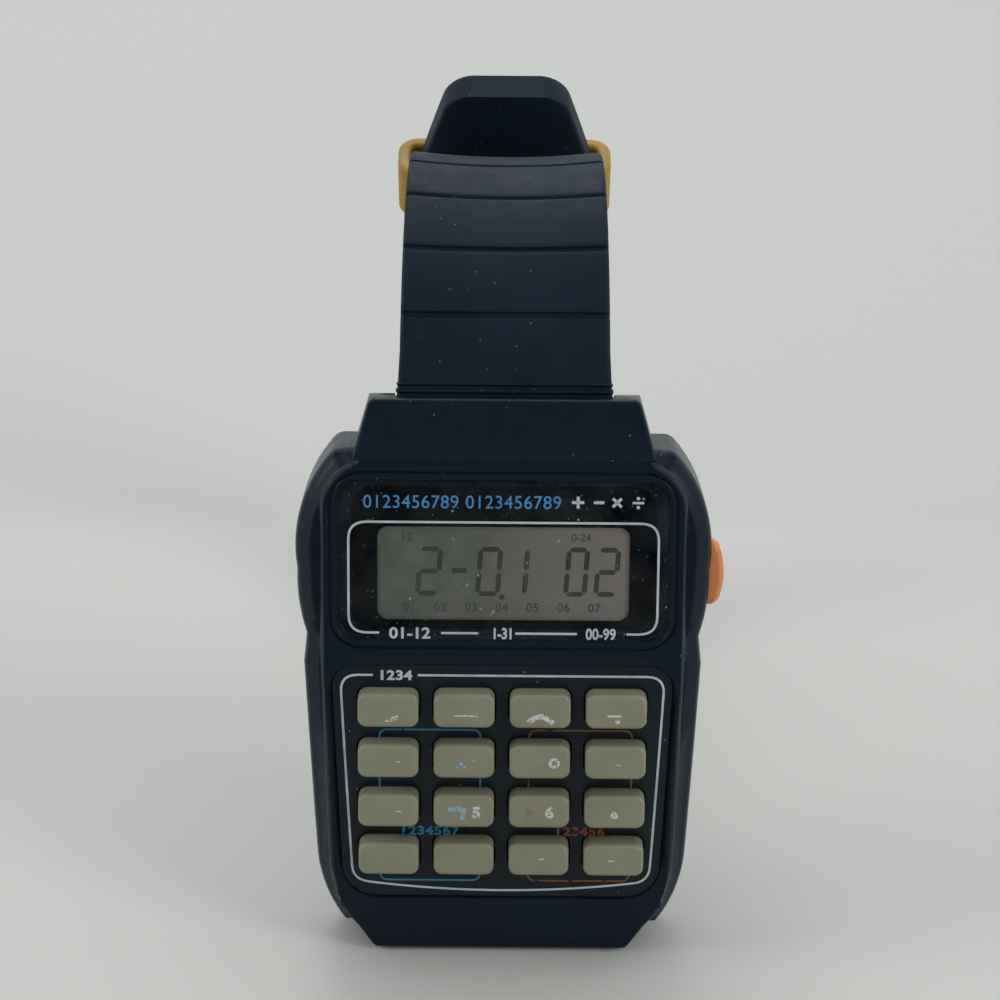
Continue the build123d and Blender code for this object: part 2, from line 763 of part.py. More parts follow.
with BuildPart() as back_gasket:
    with BuildSketch(face_plane.offset(-back_depth)):
        add(cavity_plan(gasket_inset + gasket_width - seat_gap))
        add(cavity_plan(gasket_inset + seat_gap), mode=Mode.SUBTRACT)
    extrude(amount=gasket_height)
save(back_gasket.part, "back_gasket")

with BuildPart() as case_back_screws:
    head_depth = case_depth - back_screw_head_thickness
    with Locations(*back_screw_places(case_depth)):
        Cylinder(back_screw_head, back_screw_head_thickness, align=(Align.CENTER, Align.CENTER, Align.MIN))
        Cylinder(back_screw_radius, back_thickness + back_screw_length - seat_gap,
                 align=(Align.CENTER, Align.CENTER, Align.MIN))
        Box(2 * back_screw_head, screw_slot, 2 * screw_slot, mode=Mode.SUBTRACT)
save(case_back_screws.part, "case_back_screws")

with BuildPart() as piezo_disc:
    with BuildSketch(face_plane.offset(-back_depth)):
        with Locations((0, piezo_level)):
            Circle(piezo_radius)
    extrude(amount=piezo_thickness)
save(piezo_disc.part, "piezo_disc")

with BuildPart() as piezo_contact:
    with BuildSketch(face_plane.offset(-board_back)):
        with Locations((piezo_radius / 2, piezo_level - piezo_radius / 2)):
            Circle(piezo_post_radius)
    extrude(amount=board_back - back_depth + piezo_thickness)
save(piezo_contact.part, "piezo_contact")

# Keys, each square to the bent face in its own row
for row, distance in enumerate(key_rows_at):
    for column in range(key_columns):
        x = (column - (key_columns - 1) / 2) * key_pitch_x
        with BuildPart() as key:
            with BuildSketch(row_plane(distance, wall + seat_gap)):
                with Locations((x, 0)):
                    RectangleRounded(key_width, key_length, key_corner)
            extrude(amount=wall + seat_gap + key_height)
            top = key.faces().sort_by(Axis(face_centre, out))[-1]
            chamfer(top.edges(), length=key_bevel)
            with BuildSketch(row_plane(distance, wall + seat_gap)):
                with Locations((x, 0)):
                    Rectangle(key_width + 2 * key_flange_margin, key_length + 2 * key_flange_margin)
            extrude(amount=-key_flange_thickness)
        save(key.part, f"key_r{row + 1}c{column + 1}")

# Push button with its seal, spring and clip, and the contact that it bends
with BuildPart() as side_button:
    with BuildSketch(button_plane(wing_half + button_reach)):
        RectangleRounded(button_length, button_height, button_corner)
    extrude(amount=-button_cap_thickness)
    chamfer(side_button.faces().sort_by(Axis.X)[-1].edges(), length=button_bevel)
    with BuildSketch(button_plane(button_stem_end)):
        Circle(button_stem)
    extrude(amount=wing_half + button_reach - button_cap_thickness - button_stem_end)
    with BuildSketch(button_plane(cavity_half - seat_gap - clip_ring_thickness)):
        Circle(button_stem)
        Circle(button_stem - button_clip_bite, mode=Mode.SUBTRACT)
    extrude(amount=clip_ring_thickness, mode=Mode.SUBTRACT)
save(side_button.part, "side_button")

with BuildPart() as button_clip:
    with BuildSketch(button_plane(cavity_half - seat_gap - clip_ring_thickness)):
        Circle(clip_ring_radius)
        Circle(button_stem - button_clip_bite, mode=Mode.SUBTRACT)
    extrude(amount=clip_ring_thickness)
save(button_clip.part, "button_clip")

with BuildPart() as button_seal:
    with BuildSketch(button_plane(button_bore_end)):
        Circle(button_bore)
        Circle(button_stem + pin_gap, mode=Mode.SUBTRACT)
    extrude(amount=seal_thickness)
save(button_seal.part, "button_seal")

with BuildPart() as button_spring:
    coil_start = button_plane(button_bore_end + seal_thickness + spring_wire / 2)
    with BuildLine():
        coil = Helix(pitch=spring_length / spring_turns, height=spring_length - spring_wire,
                     radius=(button_stem + button_bore) / 2, center=coil_start.origin, direction=(1, 0, 0))
    with BuildSketch(Plane(coil @ 0, x_dir=(1, 0, 0), z_dir=coil % 0)):
        Rectangle(spring_wire, spring_wire)
    sweep()
save(button_spring.part, "button_spring")

with BuildPart() as button_contact:
    with BuildSketch(button_plane(contact_place)):
        with Locations((0, (button_depth - board_top) / 2)):
            Rectangle(2 * button_stem, board_top - button_depth)
        with Locations((0, button_stem / 2)):
            Rectangle(2 * button_stem, button_stem)
    extrude(amount=contact_thickness)
save(button_contact.part, "button_contact")

# Spring bars, whose ends sit in the lugs
for name, bar in (("spring_bar_12", bar_12), ("spring_bar_6", bar_6)):
    with BuildPart() as spring_bar:
        with BuildSketch(side_plane):
            with Locations(bar):
                Circle(bar_radius)
        extrude(amount=strap_width / 2, both=True)
        with BuildSketch(side_plane):
            with Locations(bar):
                Circle(bar_tip_radius)
        extrude(amount=strap_width / 2 + bar_tip, both=True)
    save(spring_bar.part, name)


def spot(path, distance, side=0):
    """Place on a strap's middle line in the side view, or on its left or right face, turned along the strap."""
    place = path.position_at(distance, PositionMode.LENGTH)
    course = path.tangent_at(distance, PositionMode.LENGTH)
    shift = Vector(-course.Y, course.X) * side * strap_thickness / 2
    return Location(place + shift, (0, 0, degrees(atan2(course.Y, course.X))))


def strap_plane(path, distance):
    """Plane along a strap's middle line in the world: x across the watch and y along the strap."""
    place = path.position_at(distance, PositionMode.LENGTH)
    course = path.tangent_at(distance, PositionMode.LENGTH)
    return Plane((0, place.X, place.Y), x_dir=(1, 0, 0), z_dir=(0, -course.Y, course.X))


def long_edges(strap):
    """Edges that run along a strap on both of its faces."""
    runs = strap.edges().filter_by(Axis.X, reverse=True)
    return runs.filter_by(lambda e: abs(e.length - strap_thickness) > seat_gap)


# Middle lines of the straps in the side view, whose x is the world's Y and whose y is its Z
course = radians(90 - face_lean - strap_back)
root_shift = knuckle_radius - strap_thickness / 2
over_middle = over_radius - strap_thickness / 2
with BuildLine() as buckle_half_front:
    start = (bar_12_place.Y - root_shift * sin(course), bar_12_place.Z + root_shift * cos(course))
    root = PolarLine(start, root_length, degrees(course))
    shoulder = JernArc(root @ 1, root % 1, over_middle, -shoulder_turn)
with BuildLine() as buckle_half_back:
    over = JernArc(shoulder @ 1, shoulder % 1, over_middle, -over_turn)
    Line(over @ 1, (over @ 1) + (over % 1) * drop_length)
with BuildLine() as buckle_half_line:
    add(buckle_half_front.line)
    add(buckle_half_back.line)
with BuildLine() as tail_half_line:
    flat = Line((bar_6_place.Y, strap_thickness / 2), (bar_6_place.Y + tail_flat, strap_thickness / 2))
    rise = JernArc(flat @ 1, flat % 1, tail_rise_radius - strap_thickness / 2, tail_rise_turn)
    back = JernArc(rise @ 1, rise % 1, tail_back_radius - strap_thickness / 2, tail_back_turn)
buckle_half_path = buckle_half_line.wire()
tail_half_path = tail_half_line.wire()
pin_place = buckle_half_path @ 1
reach = tail_half_path.length

with BuildPart() as buckle_half_root:
    with BuildSketch(Plane.YZ):
        trace(buckle_half_front.wire(), strap_thickness)
    extrude(amount=strap_width / 2, both=True)
    with BuildSketch(strap_plane(buckle_half_path, 0)):
        with BuildLine():
            Polyline((0, -knuckle_radius), (strap_width / 2, -knuckle_radius), (strap_width / 2, 0),
                     (strap_neck_width / 2, neck_length), (strap_body_width / 2, root_length + over_middle),
                     (0, root_length + over_middle))
            mirror(about=Plane.YZ)
        make_face()
    extrude(amount=over_radius, both=True, mode=Mode.INTERSECT)
    chamfer(long_edges(buckle_half_root), length=strap_edge)

with BuildPart() as strap_buckle_half:
    with BuildSketch(Plane.YZ):
        trace(buckle_half_back.wire(), strap_thickness)
    extrude(amount=strap_body_width / 2, both=True)
    chamfer(long_edges(strap_buckle_half), length=strap_edge)
    add(buckle_half_root.part)
    with BuildSketch(Plane.YZ):
        with Locations((bar_12_place.Y, bar_12_place.Z)):
            Circle(knuckle_radius)
        with Locations(spot(buckle_half_path, collar_start, 1)):
            Rectangle(collar_length, 2 * collar_height)
    extrude(amount=strap_width / 2, both=True)
    with BuildSketch(Plane.YZ):
        with Locations(pin_place):
            Circle(pin_knuckle)
    extrude(amount=strap_body_width / 2, both=True)
    with BuildSketch(Plane.YZ):
        for groove in range(buckle_half_grooves):
            with Locations(spot(buckle_half_path, groove_first + groove * groove_pitch, 1)):
                Rectangle(groove_width, 2 * groove_depth)
        with Locations((bar_12_place.Y, bar_12_place.Z)):
            Circle(bar_radius + pin_gap)
        with Locations(pin_place):
            Circle(pin_radius + pin_gap)
    extrude(amount=strap_width, both=True, mode=Mode.SUBTRACT)
    with BuildSketch(Plane((0, pin_place.X, pin_place.Y), x_dir=(1, 0, 0), z_dir=(0, -1, 0))):
        Rectangle(prong_width + 2 * prong_gap, 2 * (pin_knuckle + prong_gap))
    extrude(amount=strap_thickness, both=True, mode=Mode.SUBTRACT)
save(strap_buckle_half.part, "strap_buckle_half")

with BuildPart() as strap_tail_half:
    with BuildSketch(Plane.YZ):
        trace(tail_half_path, strap_thickness)
    extrude(amount=strap_width / 2, both=True)
    with BuildSketch(strap_plane(tail_half_path, 0)):
        with BuildLine():
            Polyline((0, -knuckle_radius), (strap_width / 2, -knuckle_radius), (strap_width / 2, 0),
                     (strap_neck_width / 2, neck_length), (strap_body_width / 2, tail_flat),
                     (strap_body_width / 2, reach), (0, reach))
            mirror(about=Plane.YZ)
        make_face()
    extrude(amount=reach, both=True, mode=Mode.INTERSECT)
    with BuildSketch(strap_plane(tail_half_path, reach)):
        with BuildLine():
            Polyline((0, -reach), (strap_width / 2, -reach), (strap_width / 2, -tip_taper_length - neck_length),
                     (strap_body_width / 2, -tip_taper_length), (tip_width / 2, 0), (0, 0))
            mirror(about=Plane.YZ)
        make_face()
    extrude(amount=reach, both=True, mode=Mode.INTERSECT)
    tip_edges = strap_tail_half.edges().filter_by(lambda e: abs(e.length - strap_thickness) < seat_gap)
    fillet(tip_edges.sort_by(Axis.Z)[-2:], radius=tip_corner)
    chamfer(long_edges(strap_tail_half), length=strap_edge)
    with BuildSketch(Plane.YZ):
        with Locations((bar_6_place.Y, bar_6_place.Z)):
            Circle(knuckle_radius)
    extrude(amount=strap_width / 2, both=True)
    with BuildSketch(Plane.YZ):
        for groove in range(tail_half_grooves):
            with Locations(spot(tail_half_path, groove_first + groove * groove_pitch, -1)):
                Rectangle(groove_width, 2 * groove_depth)
        with Locations((bar_6_place.Y, bar_6_place.Z)):
            Circle(bar_radius + pin_gap)
    extrude(amount=strap_width, both=True, mode=Mode.SUBTRACT)
    for hole in range(hole_count):
        with BuildSketch(strap_plane(tail_half_path, reach - hole_first - hole * hole_pitch)):
            SlotOverall(hole_width, hole_length)
        extrude(amount=strap_thickness, both=True, mode=Mode.SUBTRACT)
save(strap_tail_half.part, "strap_tail_half")

# Buckle, hanging from its pin
pin_centre = Vector(0, pin_place.X, pin_place.Y)
with BuildPart() as buckle_pin:
    with BuildSketch(Plane.YZ):
        with Locations(pin_place):
            Circle(pin_radius)
    extrude(amount=frame_opening / 2 + frame_arm, both=True)
save(buckle_pin.part, "buckle_pin")

with BuildPart() as buckle_frame:
    with BuildSketch(Plane.YZ):
        with Locations(pin_place):
            Circle(frame_end_radius)
            Rectangle(frame_thickness, frame_length, align=(Align.CENTER, Align.MAX))
    extrude(amount=frame_opening / 2 + frame_arm, both=True)
    fillet(buckle_frame.edges().filter_by(Axis.Y).group_by(Axis.Z)[0], radius=frame_corner)
    with BuildSketch(Plane(pin_centre, x_dir=(1, 0, 0), z_dir=(0, -1, 0))):
        with Locations((0, frame_bar - frame_length)):
            Rectangle(frame_opening, 2 * frame_length, align=(Align.CENTER, Align.MIN))
    extrude(amount=frame_length, both=True, mode=Mode.SUBTRACT)
    with BuildSketch(Plane.YZ):
        with Locations(pin_place):
            Circle(pin_radius + pin_gap)
    extrude(amount=strap_width, both=True, mode=Mode.SUBTRACT)
save(buckle_frame.part, "buckle_frame")

with BuildPart() as buckle_prong:
    with BuildSketch(Plane.YZ):
        with Locations(pin_place):
            Circle(prong_ring)
            with Locations((frame_thickness / 2 + pin_gap, 0)):
                Rectangle(prong_thickness, frame_length + prong_past, align=(Align.MIN, Align.MAX))
            Circle(pin_radius + pin_gap, mode=Mode.SUBTRACT)
    extrude(amount=prong_width / 2, both=True)
save(buckle_prong.part, "buckle_prong")

# Keeper round the tail
keeper_at = reach - radians(tail_back_turn - keeper_turn) * (tail_back_radius - strap_thickness / 2)
with BuildPart() as keeper:
    across_strap = strap_plane(tail_half_path, keeper_at)
    with BuildSketch(Plane(across_strap.origin, x_dir=(1, 0, 0), z_dir=across_strap.y_dir)):
        RectangleRounded(strap_body_width + 2 * (keeper_gap + keeper_side),
                         strap_thickness + 2 * (keeper_gap + keeper_wall), keeper_corner)
        RectangleRounded(strap_body_width + 2 * keeper_gap, strap_thickness + 2 * keeper_gap,
                         keeper_inner_corner, mode=Mode.SUBTRACT)
    extrude(amount=keeper_width / 2, both=True)
save(keeper.part, "keeper")
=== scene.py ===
from math import cos, pi, radians, sin, sqrt

import bmesh
import bpy
from bpy.props import FloatProperty, FloatVectorProperty, IntProperty, PointerProperty
from mathutils import Matrix, Vector


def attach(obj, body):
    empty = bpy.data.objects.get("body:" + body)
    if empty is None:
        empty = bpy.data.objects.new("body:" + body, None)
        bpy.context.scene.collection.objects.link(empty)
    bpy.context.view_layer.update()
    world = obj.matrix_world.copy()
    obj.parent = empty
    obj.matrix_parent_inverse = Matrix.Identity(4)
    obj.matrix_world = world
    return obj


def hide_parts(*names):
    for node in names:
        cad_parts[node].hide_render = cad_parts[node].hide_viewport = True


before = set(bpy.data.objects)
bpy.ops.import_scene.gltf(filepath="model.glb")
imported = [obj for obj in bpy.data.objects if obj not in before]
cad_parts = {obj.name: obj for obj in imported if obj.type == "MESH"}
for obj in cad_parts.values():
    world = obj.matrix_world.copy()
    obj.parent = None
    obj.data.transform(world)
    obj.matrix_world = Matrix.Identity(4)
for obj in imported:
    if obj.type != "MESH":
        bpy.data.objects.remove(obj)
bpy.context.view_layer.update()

bl_info = {
    "name": "Calculator watch",
    "version": (1, 0, 0),
    "blender": (4, 5, 0),
    "location": "3D view > Sidebar > Watch",
    "description": "Dresses the packed calculator watch: case, printed keypad, curved strap, and a pale studio",
    "category": "Object",
}

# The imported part's own measures, in millimetres, as its source names them
MM = 0.001
LEAN = radians(18)
ACROSS = Vector((1, 0, 0))
UP = Vector((0, sin(LEAN), cos(LEAN)))
OUT = Vector((0, -cos(LEAN), sin(LEAN)))
TAIL_FLAT = 26.8
BAR_6 = Vector((0, -TAIL_FLAT / 2, 2.0))
FACE = BAR_6 + UP * 23.4 + OUT * 6.8
BAR_12 = FACE + UP * 20.1 - OUT * 6.6
BEND_START = 1.0
BEND_RADIUS = 129.0
PLATE_SUNK = 0.2
KEY_GRID = 4
KEY_PITCH = (6.3, 4.46)
KEY_FIRST_ROW = -3.05
KEY_SIZE = (5.05, 2.95)
KEY_HEIGHT = 1.45
KEY_FOOT = 2.05
PRINT_OVER = -0.045
LCD_FRONT = 1.45
LINE_WIDTH = 0.19
LIP_RADIUS = 0.15
CAMERA_HEIGHT = radians(32)
BUTTON_FACE = 17.35      # the push button's cap starts this far from the middle
NEAR = 1e-4              # two places closer than this are one

# The strap's course and its ends
KNUCKLE = 2.0
BAR_BORE = 0.8
PIN_KNUCKLE = 1.7
PIN_BORE = 0.7
BORE_REACH = 15
KNUCKLE_RIM = 0.25
NECK_LENGTH = 5.5
BODY_START = 31.5        # the body has its full draw-in from here on
OVER_HEADING = 63.5
OVER_RADIUS = 17.5
OVER_TURN = 153.5
RISE_RADIUS = 27.0
RISE_TURN = 78.0
BACK_RADIUS = 60.0
BACK_TURN = 36.0
GROOVE_FIRST = 8.3
RIDGES = ((2.15, 2.35), (2.6, 2.8))
RIDGE_HEIGHT = 0.2
RIDGE_SIDE = 0.12
TIP_TAPER = 10.5
TIP_WIDTH = 10.4
TIP_CORNER = 2.0
HOLES = 9
HOLE_FIRST = 19.0
HOLE_PITCH = 5.0
HOLE_SIZE = (2.6, 1.7)
HOLE_CORNER = 0.84


def srgb(code):
    """Linear colour of an sRGB hex value."""
    parts = [int(code[i:i + 2], 16) / 255 for i in (1, 3, 5)]
    return [c / 12.92 if c <= 0.04045 else ((c + 0.055) / 1.055) ** 2.4 for c in parts] + [1.0]


def node(tree, kind, inputs=(), **settings):
    """Add a shader node with its settings; its inputs are values or other nodes' outputs."""
    made = tree.nodes.new("ShaderNode" + kind)
    for name, value in settings.items():
        setattr(made, name, value)
    for socket, value in dict(inputs).items():
        if isinstance(value, bpy.types.NodeSocket):
            tree.links.new(value, made.inputs[socket])
        else:
            made.inputs[socket].default_value = value
    return made


def remap(tree, value, low, high, start=0.0, end=1.0, **settings):
    """Spread the part of a value between low and high over start to end."""
    return node(tree, "MapRange", {"Value": value, "From Min": low, "From Max": high, "To Min": start,
                                   "To Max": end}, **settings).outputs[0]


def calculate(tree, operation, first, second, **settings):
    """Work out a value from two others."""
    return node(tree, "Math", {0: first, 1: second}, operation=operation, **settings).outputs[0]


def start_material(name):
    """An empty node material with its shader, output and place on the object."""
    material = bpy.data.materials.new(name)
    material.use_nodes = True
    tree = material.node_tree
    tree.nodes.clear()
    shader = node(tree, "BsdfPrincipled")
    node(tree, "OutputMaterial", {"Surface": shader.outputs[0]})
    place = node(tree, "TexCoord").outputs["Object"]
    return material, tree, shader, place


def ramp(tree, factor, stops, kind="LINEAR"):
    """Colour ramp from (position, hex colour) stops."""
    made = node(tree, "ValToRGB", {"Fac": factor})
    made.color_ramp.interpolation = kind
    elements = made.color_ramp.elements
    elements[0].position, elements[0].color = stops[0][0], srgb(stops[0][1])
    elements[1].position, elements[1].color = stops[-1][0], srgb(stops[-1][1])
    for position, code in stops[1:-1]:
        elements.new(position).color = srgb(code)
    return made.outputs["Color"]


def grain(tree, place, size, detail=3.0, stretch=(1, 1, 1), turn=(0, 0, 0)):
    """Noise whose lumps are size millimetres wide, stretched and turned if asked."""
    mapped = node(tree, "Mapping", {"Vector": place, "Scale": stretch, "Rotation": turn})
    return node(tree, "TexNoise", {"Vector": mapped.outputs[0], "Scale": 1 / (size * MM),
                                             "Detail": detail, "Roughness": 0.55}).outputs["Fac"]


def flecks(tree, place, spacing, size):
    """Round specks of about size millimetres, one to each spacing, as a mask."""
    cells = node(tree, "TexVoronoi", {"Vector": place, "Scale": 1 / (spacing * MM), "Randomness": 1.0})
    edge = size / spacing / 2
    return remap(tree, cells.outputs["Distance"], edge * 0.4, edge, 1.0, 0.0)



def scratches(tree, place, spacing, length, width, turn):
    """Short straight scratches of a length and width in millimetres, one to each spacing, as a mask."""
    turned = node(tree, "Mapping", {"Vector": place, "Rotation": turn})
    drawn = node(tree, "Mapping", {"Vector": turned.outputs[0], "Scale": (1, width / length, 1)})
    return flecks(tree, drawn.outputs[0], spacing, width)


def blend_colour(tree, factor, first, second):
    """Mix of two colours, each an output or a hex value."""
    sides = [srgb(c) if isinstance(c, str) else c for c in (first, second)]
    mixed = node(tree, "Mix", data_type="RGBA")
    tree.links.new(factor, mixed.inputs[0])
    for socket, side in zip((mixed.inputs[6], mixed.inputs[7]), sides):
        if isinstance(side, bpy.types.NodeSocket):
            tree.links.new(side, socket)
        else:
            socket.default_value = side
    return mixed.outputs[2]


def set_bump(tree, shader, height, depth):
    """Bump from a height output, whose full range stands for depth millimetres."""
    bump = node(tree, "Bump", {"Height": height, "Distance": depth * MM, "Strength": 1.0})
    tree.links.new(bump.outputs[0], shader.inputs["Normal"])


def set_roughness(tree, shader, mask, low, high):
    """Roughness that follows a mask between two values."""
    tree.links.new(remap(tree, mask, 0.3, 0.7, low, high), shader.inputs["Roughness"])



# Two sets of scuffs: spacing, length and width in millimetres, and how they are turned
SCUFFS = ((1.1, 1.6, 0.12, (0.3, 0.5, 0.9)), (1.3, 1.2, 0.1, (1.2, 0.2, -0.7)))


def moulded(name, dark, light, rough, grit=0.12, depth=0.004, blotch=6.0, wear="#5a646c", worn=0.0,
            gloss=0.5):
    """Moulded plastic or resin: two close tones in soft blotches, a fine eroded grain, and scuffs and dust."""
    material, tree, shader, place = start_material(name)
    cloud = grain(tree, place, blotch)
    colour = ramp(tree, cloud, ((0.35, dark), (0.65, light)))
    if worn:
        both = calculate(tree, "MAXIMUM", *[scratches(tree, place, *facts) for facts in SCUFFS])
        colour = blend_colour(tree, calculate(tree, "MULTIPLY", both, worn), colour, wear)
        dust = calculate(tree, "MULTIPLY", flecks(tree, place, 1.5, 0.2), worn)
        colour = blend_colour(tree, dust, colour, "#a9adad")
    tree.links.new(colour, shader.inputs["Base Color"])
    set_roughness(tree, shader, grain(tree, place, blotch / 4), rough - 0.06, rough + 0.06)
    set_bump(tree, shader, grain(tree, place, grit, 2.0), depth)
    shader.inputs["IOR"].default_value = 1.46
    shader.inputs["Specular IOR Level"].default_value = gloss
    return material


def metal(name, code, rough, along=(1, 12, 1), size=0.12):
    """Metal with fine marks that run one way."""
    material, tree, shader, place = start_material(name)
    lines = grain(tree, place, size, 2.0, along)
    tree.links.new(ramp(tree, lines, ((0.3, code), (0.75, "#ffffff" if rough < 0.2 else code))),
                   shader.inputs["Base Color"])
    shader.inputs["Metallic"].default_value = 1.0
    set_roughness(tree, shader, lines, rough, rough + 0.15)
    set_bump(tree, shader, lines, 0.002)
    return material


def ink(name, code, rough=0.45, worn=0.0, patch=0.7):
    """Printed ink with a slight mottle; if worn, rubbed away in patches so many millimetres wide."""
    material, tree, shader, place = start_material(name)
    shader.inputs["Roughness"].default_value = rough
    shader.inputs["Specular IOR Level"].default_value = 0.3
    mottle = grain(tree, place, patch if worn else 1.5, 4.0)
    shade = blend_colour(tree, remap(tree, mottle, 0.3, 0.7, 0.75), "#30343a", code)
    tree.links.new(shade, shader.inputs["Base Color"])
    if worn:
        tree.links.new(remap(tree, mottle, worn, worn + 0.06), shader.inputs["Alpha"])
    return material


# Moulded finishes: material's name, two close tones, roughness, and what differs from the usual
MOULDED = {
    # Case: ABS moulded with a satin eroded finish, handled until the high spots are a little brighter
    "case": ("abs_moulded_satin", "#081824", "#0b1b28", 0.3, {"worn": 0.3, "gloss": 0.18}),
    # Strap: polyurethane resin, matt from the mould, blue-black, with dust in its grain
    "strap": ("polyurethane_strap_matt", "#0b1b28", "#0f2230", 0.6,
              {"grit": 0.2, "depth": 0.008, "wear": "#3a444d", "worn": 0.28, "gloss": 0.22}),
    # Keeper: the same resin in mustard, greyed by skin oil
    "keeper": ("polyurethane_keeper_mustard", "#a07d1e", "#ad8828", 0.5,
               {"grit": 0.2, "depth": 0.006, "wear": "#7d6a30", "worn": 0.5}),
    # Push button: ABS, glossier than the case, in a dull orange
    "button": ("abs_button_orange", "#d4824a", "#dc8c50", 0.36, {"wear": "#8d4e22", "worn": 0.2}),
    # Buckle: black nylon, moulded
    "buckle": ("nylon_buckle_satin", "#15191d", "#1c2126", 0.4, {"worn": 0.3}),
    # Keys: ABS in a warm grey, polished by fingers on top
    "key": ("abs_key_warm_grey", "#888873", "#8f8f79", 0.42,
            {"grit": 0.1, "depth": 0.003, "blotch": 3.0, "wear": "#8f9082", "worn": 0.35}),
    # Keypad plate: polycarbonate sheet, back-printed black, with a soft gloss; and the print under the lens
    "plate": ("polycarbonate_plate_black", "#09171f", "#0c1c27", 0.3,
              {"grit": 0.3, "depth": 0.002, "wear": "#46525b", "worn": 0.45, "gloss": 0.3}),
    "mask": ("screen_mask_black", "#04090f", "#060c13", 0.5, {"depth": 0.0, "gloss": 0.05}),
    # Pieces of the module
    "film": ("polyimide_film_amber", "#8a5a1c", "#96651f", 0.3, {}),
    "nylon": ("nylon_frame_natural", "#c9c6b8", "#d2cfc2", 0.5, {}),
    "board": ("glass_epoxy_board_green", "#1d4a2a", "#245632", 0.35, {}),
    "blob": ("epoxy_blob_black", "#0d0e0f", "#121314", 0.25, {}),
    "silicone": ("silicone_rubber_grey", "#85868a", "#8e8f93", 0.6, {}),
    "seal": ("nitrile_rubber_black", "#141414", "#191919", 0.6, {}),
    "ceramic": ("capacitor_ceramic_tan", "#8f7350", "#9a7d58", 0.5, {}),
}
# Inks of the prints, the display and the worn paint: material's name, colour, and how far it is rubbed off
INKS = {
    "white_ink": ("screen_ink_white", "#cfd6d8", {}),
    "blue_ink": ("screen_ink_blue", "#4f9bd6", {}),
    "dim_blue_ink": ("screen_ink_blue_worn", "#3888ac", {"worn": 0.32}),
    "orange_ink": ("screen_ink_orange_worn", "#8a5228", {"worn": 0.36}),
    "rubbed_ink": ("pad_ink_rubbed", "#dfe2dc", {"worn": 0.39, "patch": 0.16}),
    "rubbed_blue_ink": ("pad_ink_blue_rubbed", "#9cc0cd", {"worn": 0.38, "patch": 0.22}),
    "rubbed_orange_ink": ("pad_ink_orange_rubbed", "#9a8257", {"worn": 0.42, "patch": 0.25}),
    "segment": ("liquid_crystal_dark", "#343a37", {}),
    "faint_segment": ("liquid_crystal_faint", "#4a4f4a", {}),
}
# Metals: steel of the back plate, brushed in line with the strap, bright small parts, and the beeper's brass
METALS = {
    "back_steel": ("stainless_steel_brushed", "#b9b8b4", 0.28, (40, 1, 1), 0.25),
    "steel": ("spring_steel_bright", "#c6c5c1", 0.22),
    "brass": ("piezo_brass", "#c8a45a", 0.3),
}


def make_materials():
    """Every finish of the watch, by the short name that the pieces use."""
    made = {key: moulded(*facts, **more) for key, (*facts, more) in MOULDED.items()}
    made.update({key: ink(*facts, **more) for key, (*facts, more) in INKS.items()})
    made.update({key: metal(*facts) for key, facts in METALS.items()})
    made["lcd"] = lcd_material()
    made["lens"] = lens_material()
    return made


def lcd_material():
    """Liquid-crystal cell: greenish grey on one side, warmer on the other, mottled by its polariser."""
    material, tree, shader, place = start_material("liquid_crystal_cell")
    split = node(tree, "SeparateXYZ", {0: place})
    side = 10.5 * MM
    base = ramp(tree, remap(tree, split.outputs[0], -side, side),
                ((0.0, "#4c594d"), (0.4, "#585e52"), (0.75, "#716e66"), (1.0, "#7a7470")))
    haze = remap(tree, grain(tree, place, 2.2, 4.0), 0.45, 0.75, 0.0, 0.3)
    hazed = blend_colour(tree, haze, base, "#857c74")
    tree.links.new(hazed, shader.inputs["Base Color"])
    shader.inputs["Roughness"].default_value = 0.35
    return material


def lens_material():
    """Acrylic lens: clear and cast, with dust, small pits and hairline scratches that catch the light."""
    material, tree, shader, place = start_material("acrylic_lens_clear")
    shader.inputs["Base Color"].default_value = srgb("#c9cdca")
    shader.inputs["Roughness"].default_value = 0.18
    shader.inputs["IOR"].default_value = 1.49
    masks = [(flecks(tree, place, 0.6, 0.12), 0.6), (flecks(tree, place, 2.2, 0.3), 0.5),
             (scratches(tree, place, 1.2, 1.3, 0.12, (0.2, 0.4, 0.6)), 0.5),
             (scratches(tree, place, 1.5, 1.0, 0.12, (0.1, -0.3, -0.9)), 0.5)]
    total, *others = [calculate(tree, "MULTIPLY", mask, strength) for mask, strength in masks]
    for part in others:
        total = calculate(tree, "MAXIMUM", total, part)
    film = remap(tree, grain(tree, place, 3.5, 5.0), 0.35, 0.75, 0.0, 0.03)
    alpha = calculate(tree, "ADD", total, film, use_clamp=True)
    tree.links.new(alpha, shader.inputs["Alpha"])
    return material


MATERIALS = {}


def add_object(name, data):
    """An object of some data, linked into the scene."""
    made = bpy.data.objects.new(name, data)
    bpy.context.scene.collection.objects.link(made)
    return made


def axes_matrix(right, up, out):
    """Matrix whose three axes are given."""
    return Matrix((right, up, out)).transposed().to_4x4()


def of_kind(geom, kind):
    """The vertices or faces among an operator's results."""
    return [g for g in geom if isinstance(g, kind)]


def bevel(bm, geom, offset, segments, affect="EDGES"):
    """Round some edges, or the corners of a flat outline."""
    bmesh.ops.bevel(bm, geom=geom, affect=affect, offset=offset, segments=segments, profile=0.5, material=-1)


def upright(bm):
    """The long upright edges of a block."""
    return [e for e in bm.edges if abs(e.verts[0].co.z - e.verts[1].co.z) > 1]


def face_place(point):
    """Millimetres across, up and out of the display's plane for a point in metres."""
    off = point / MM - FACE
    return off.x, off.dot(UP), off.dot(OUT)


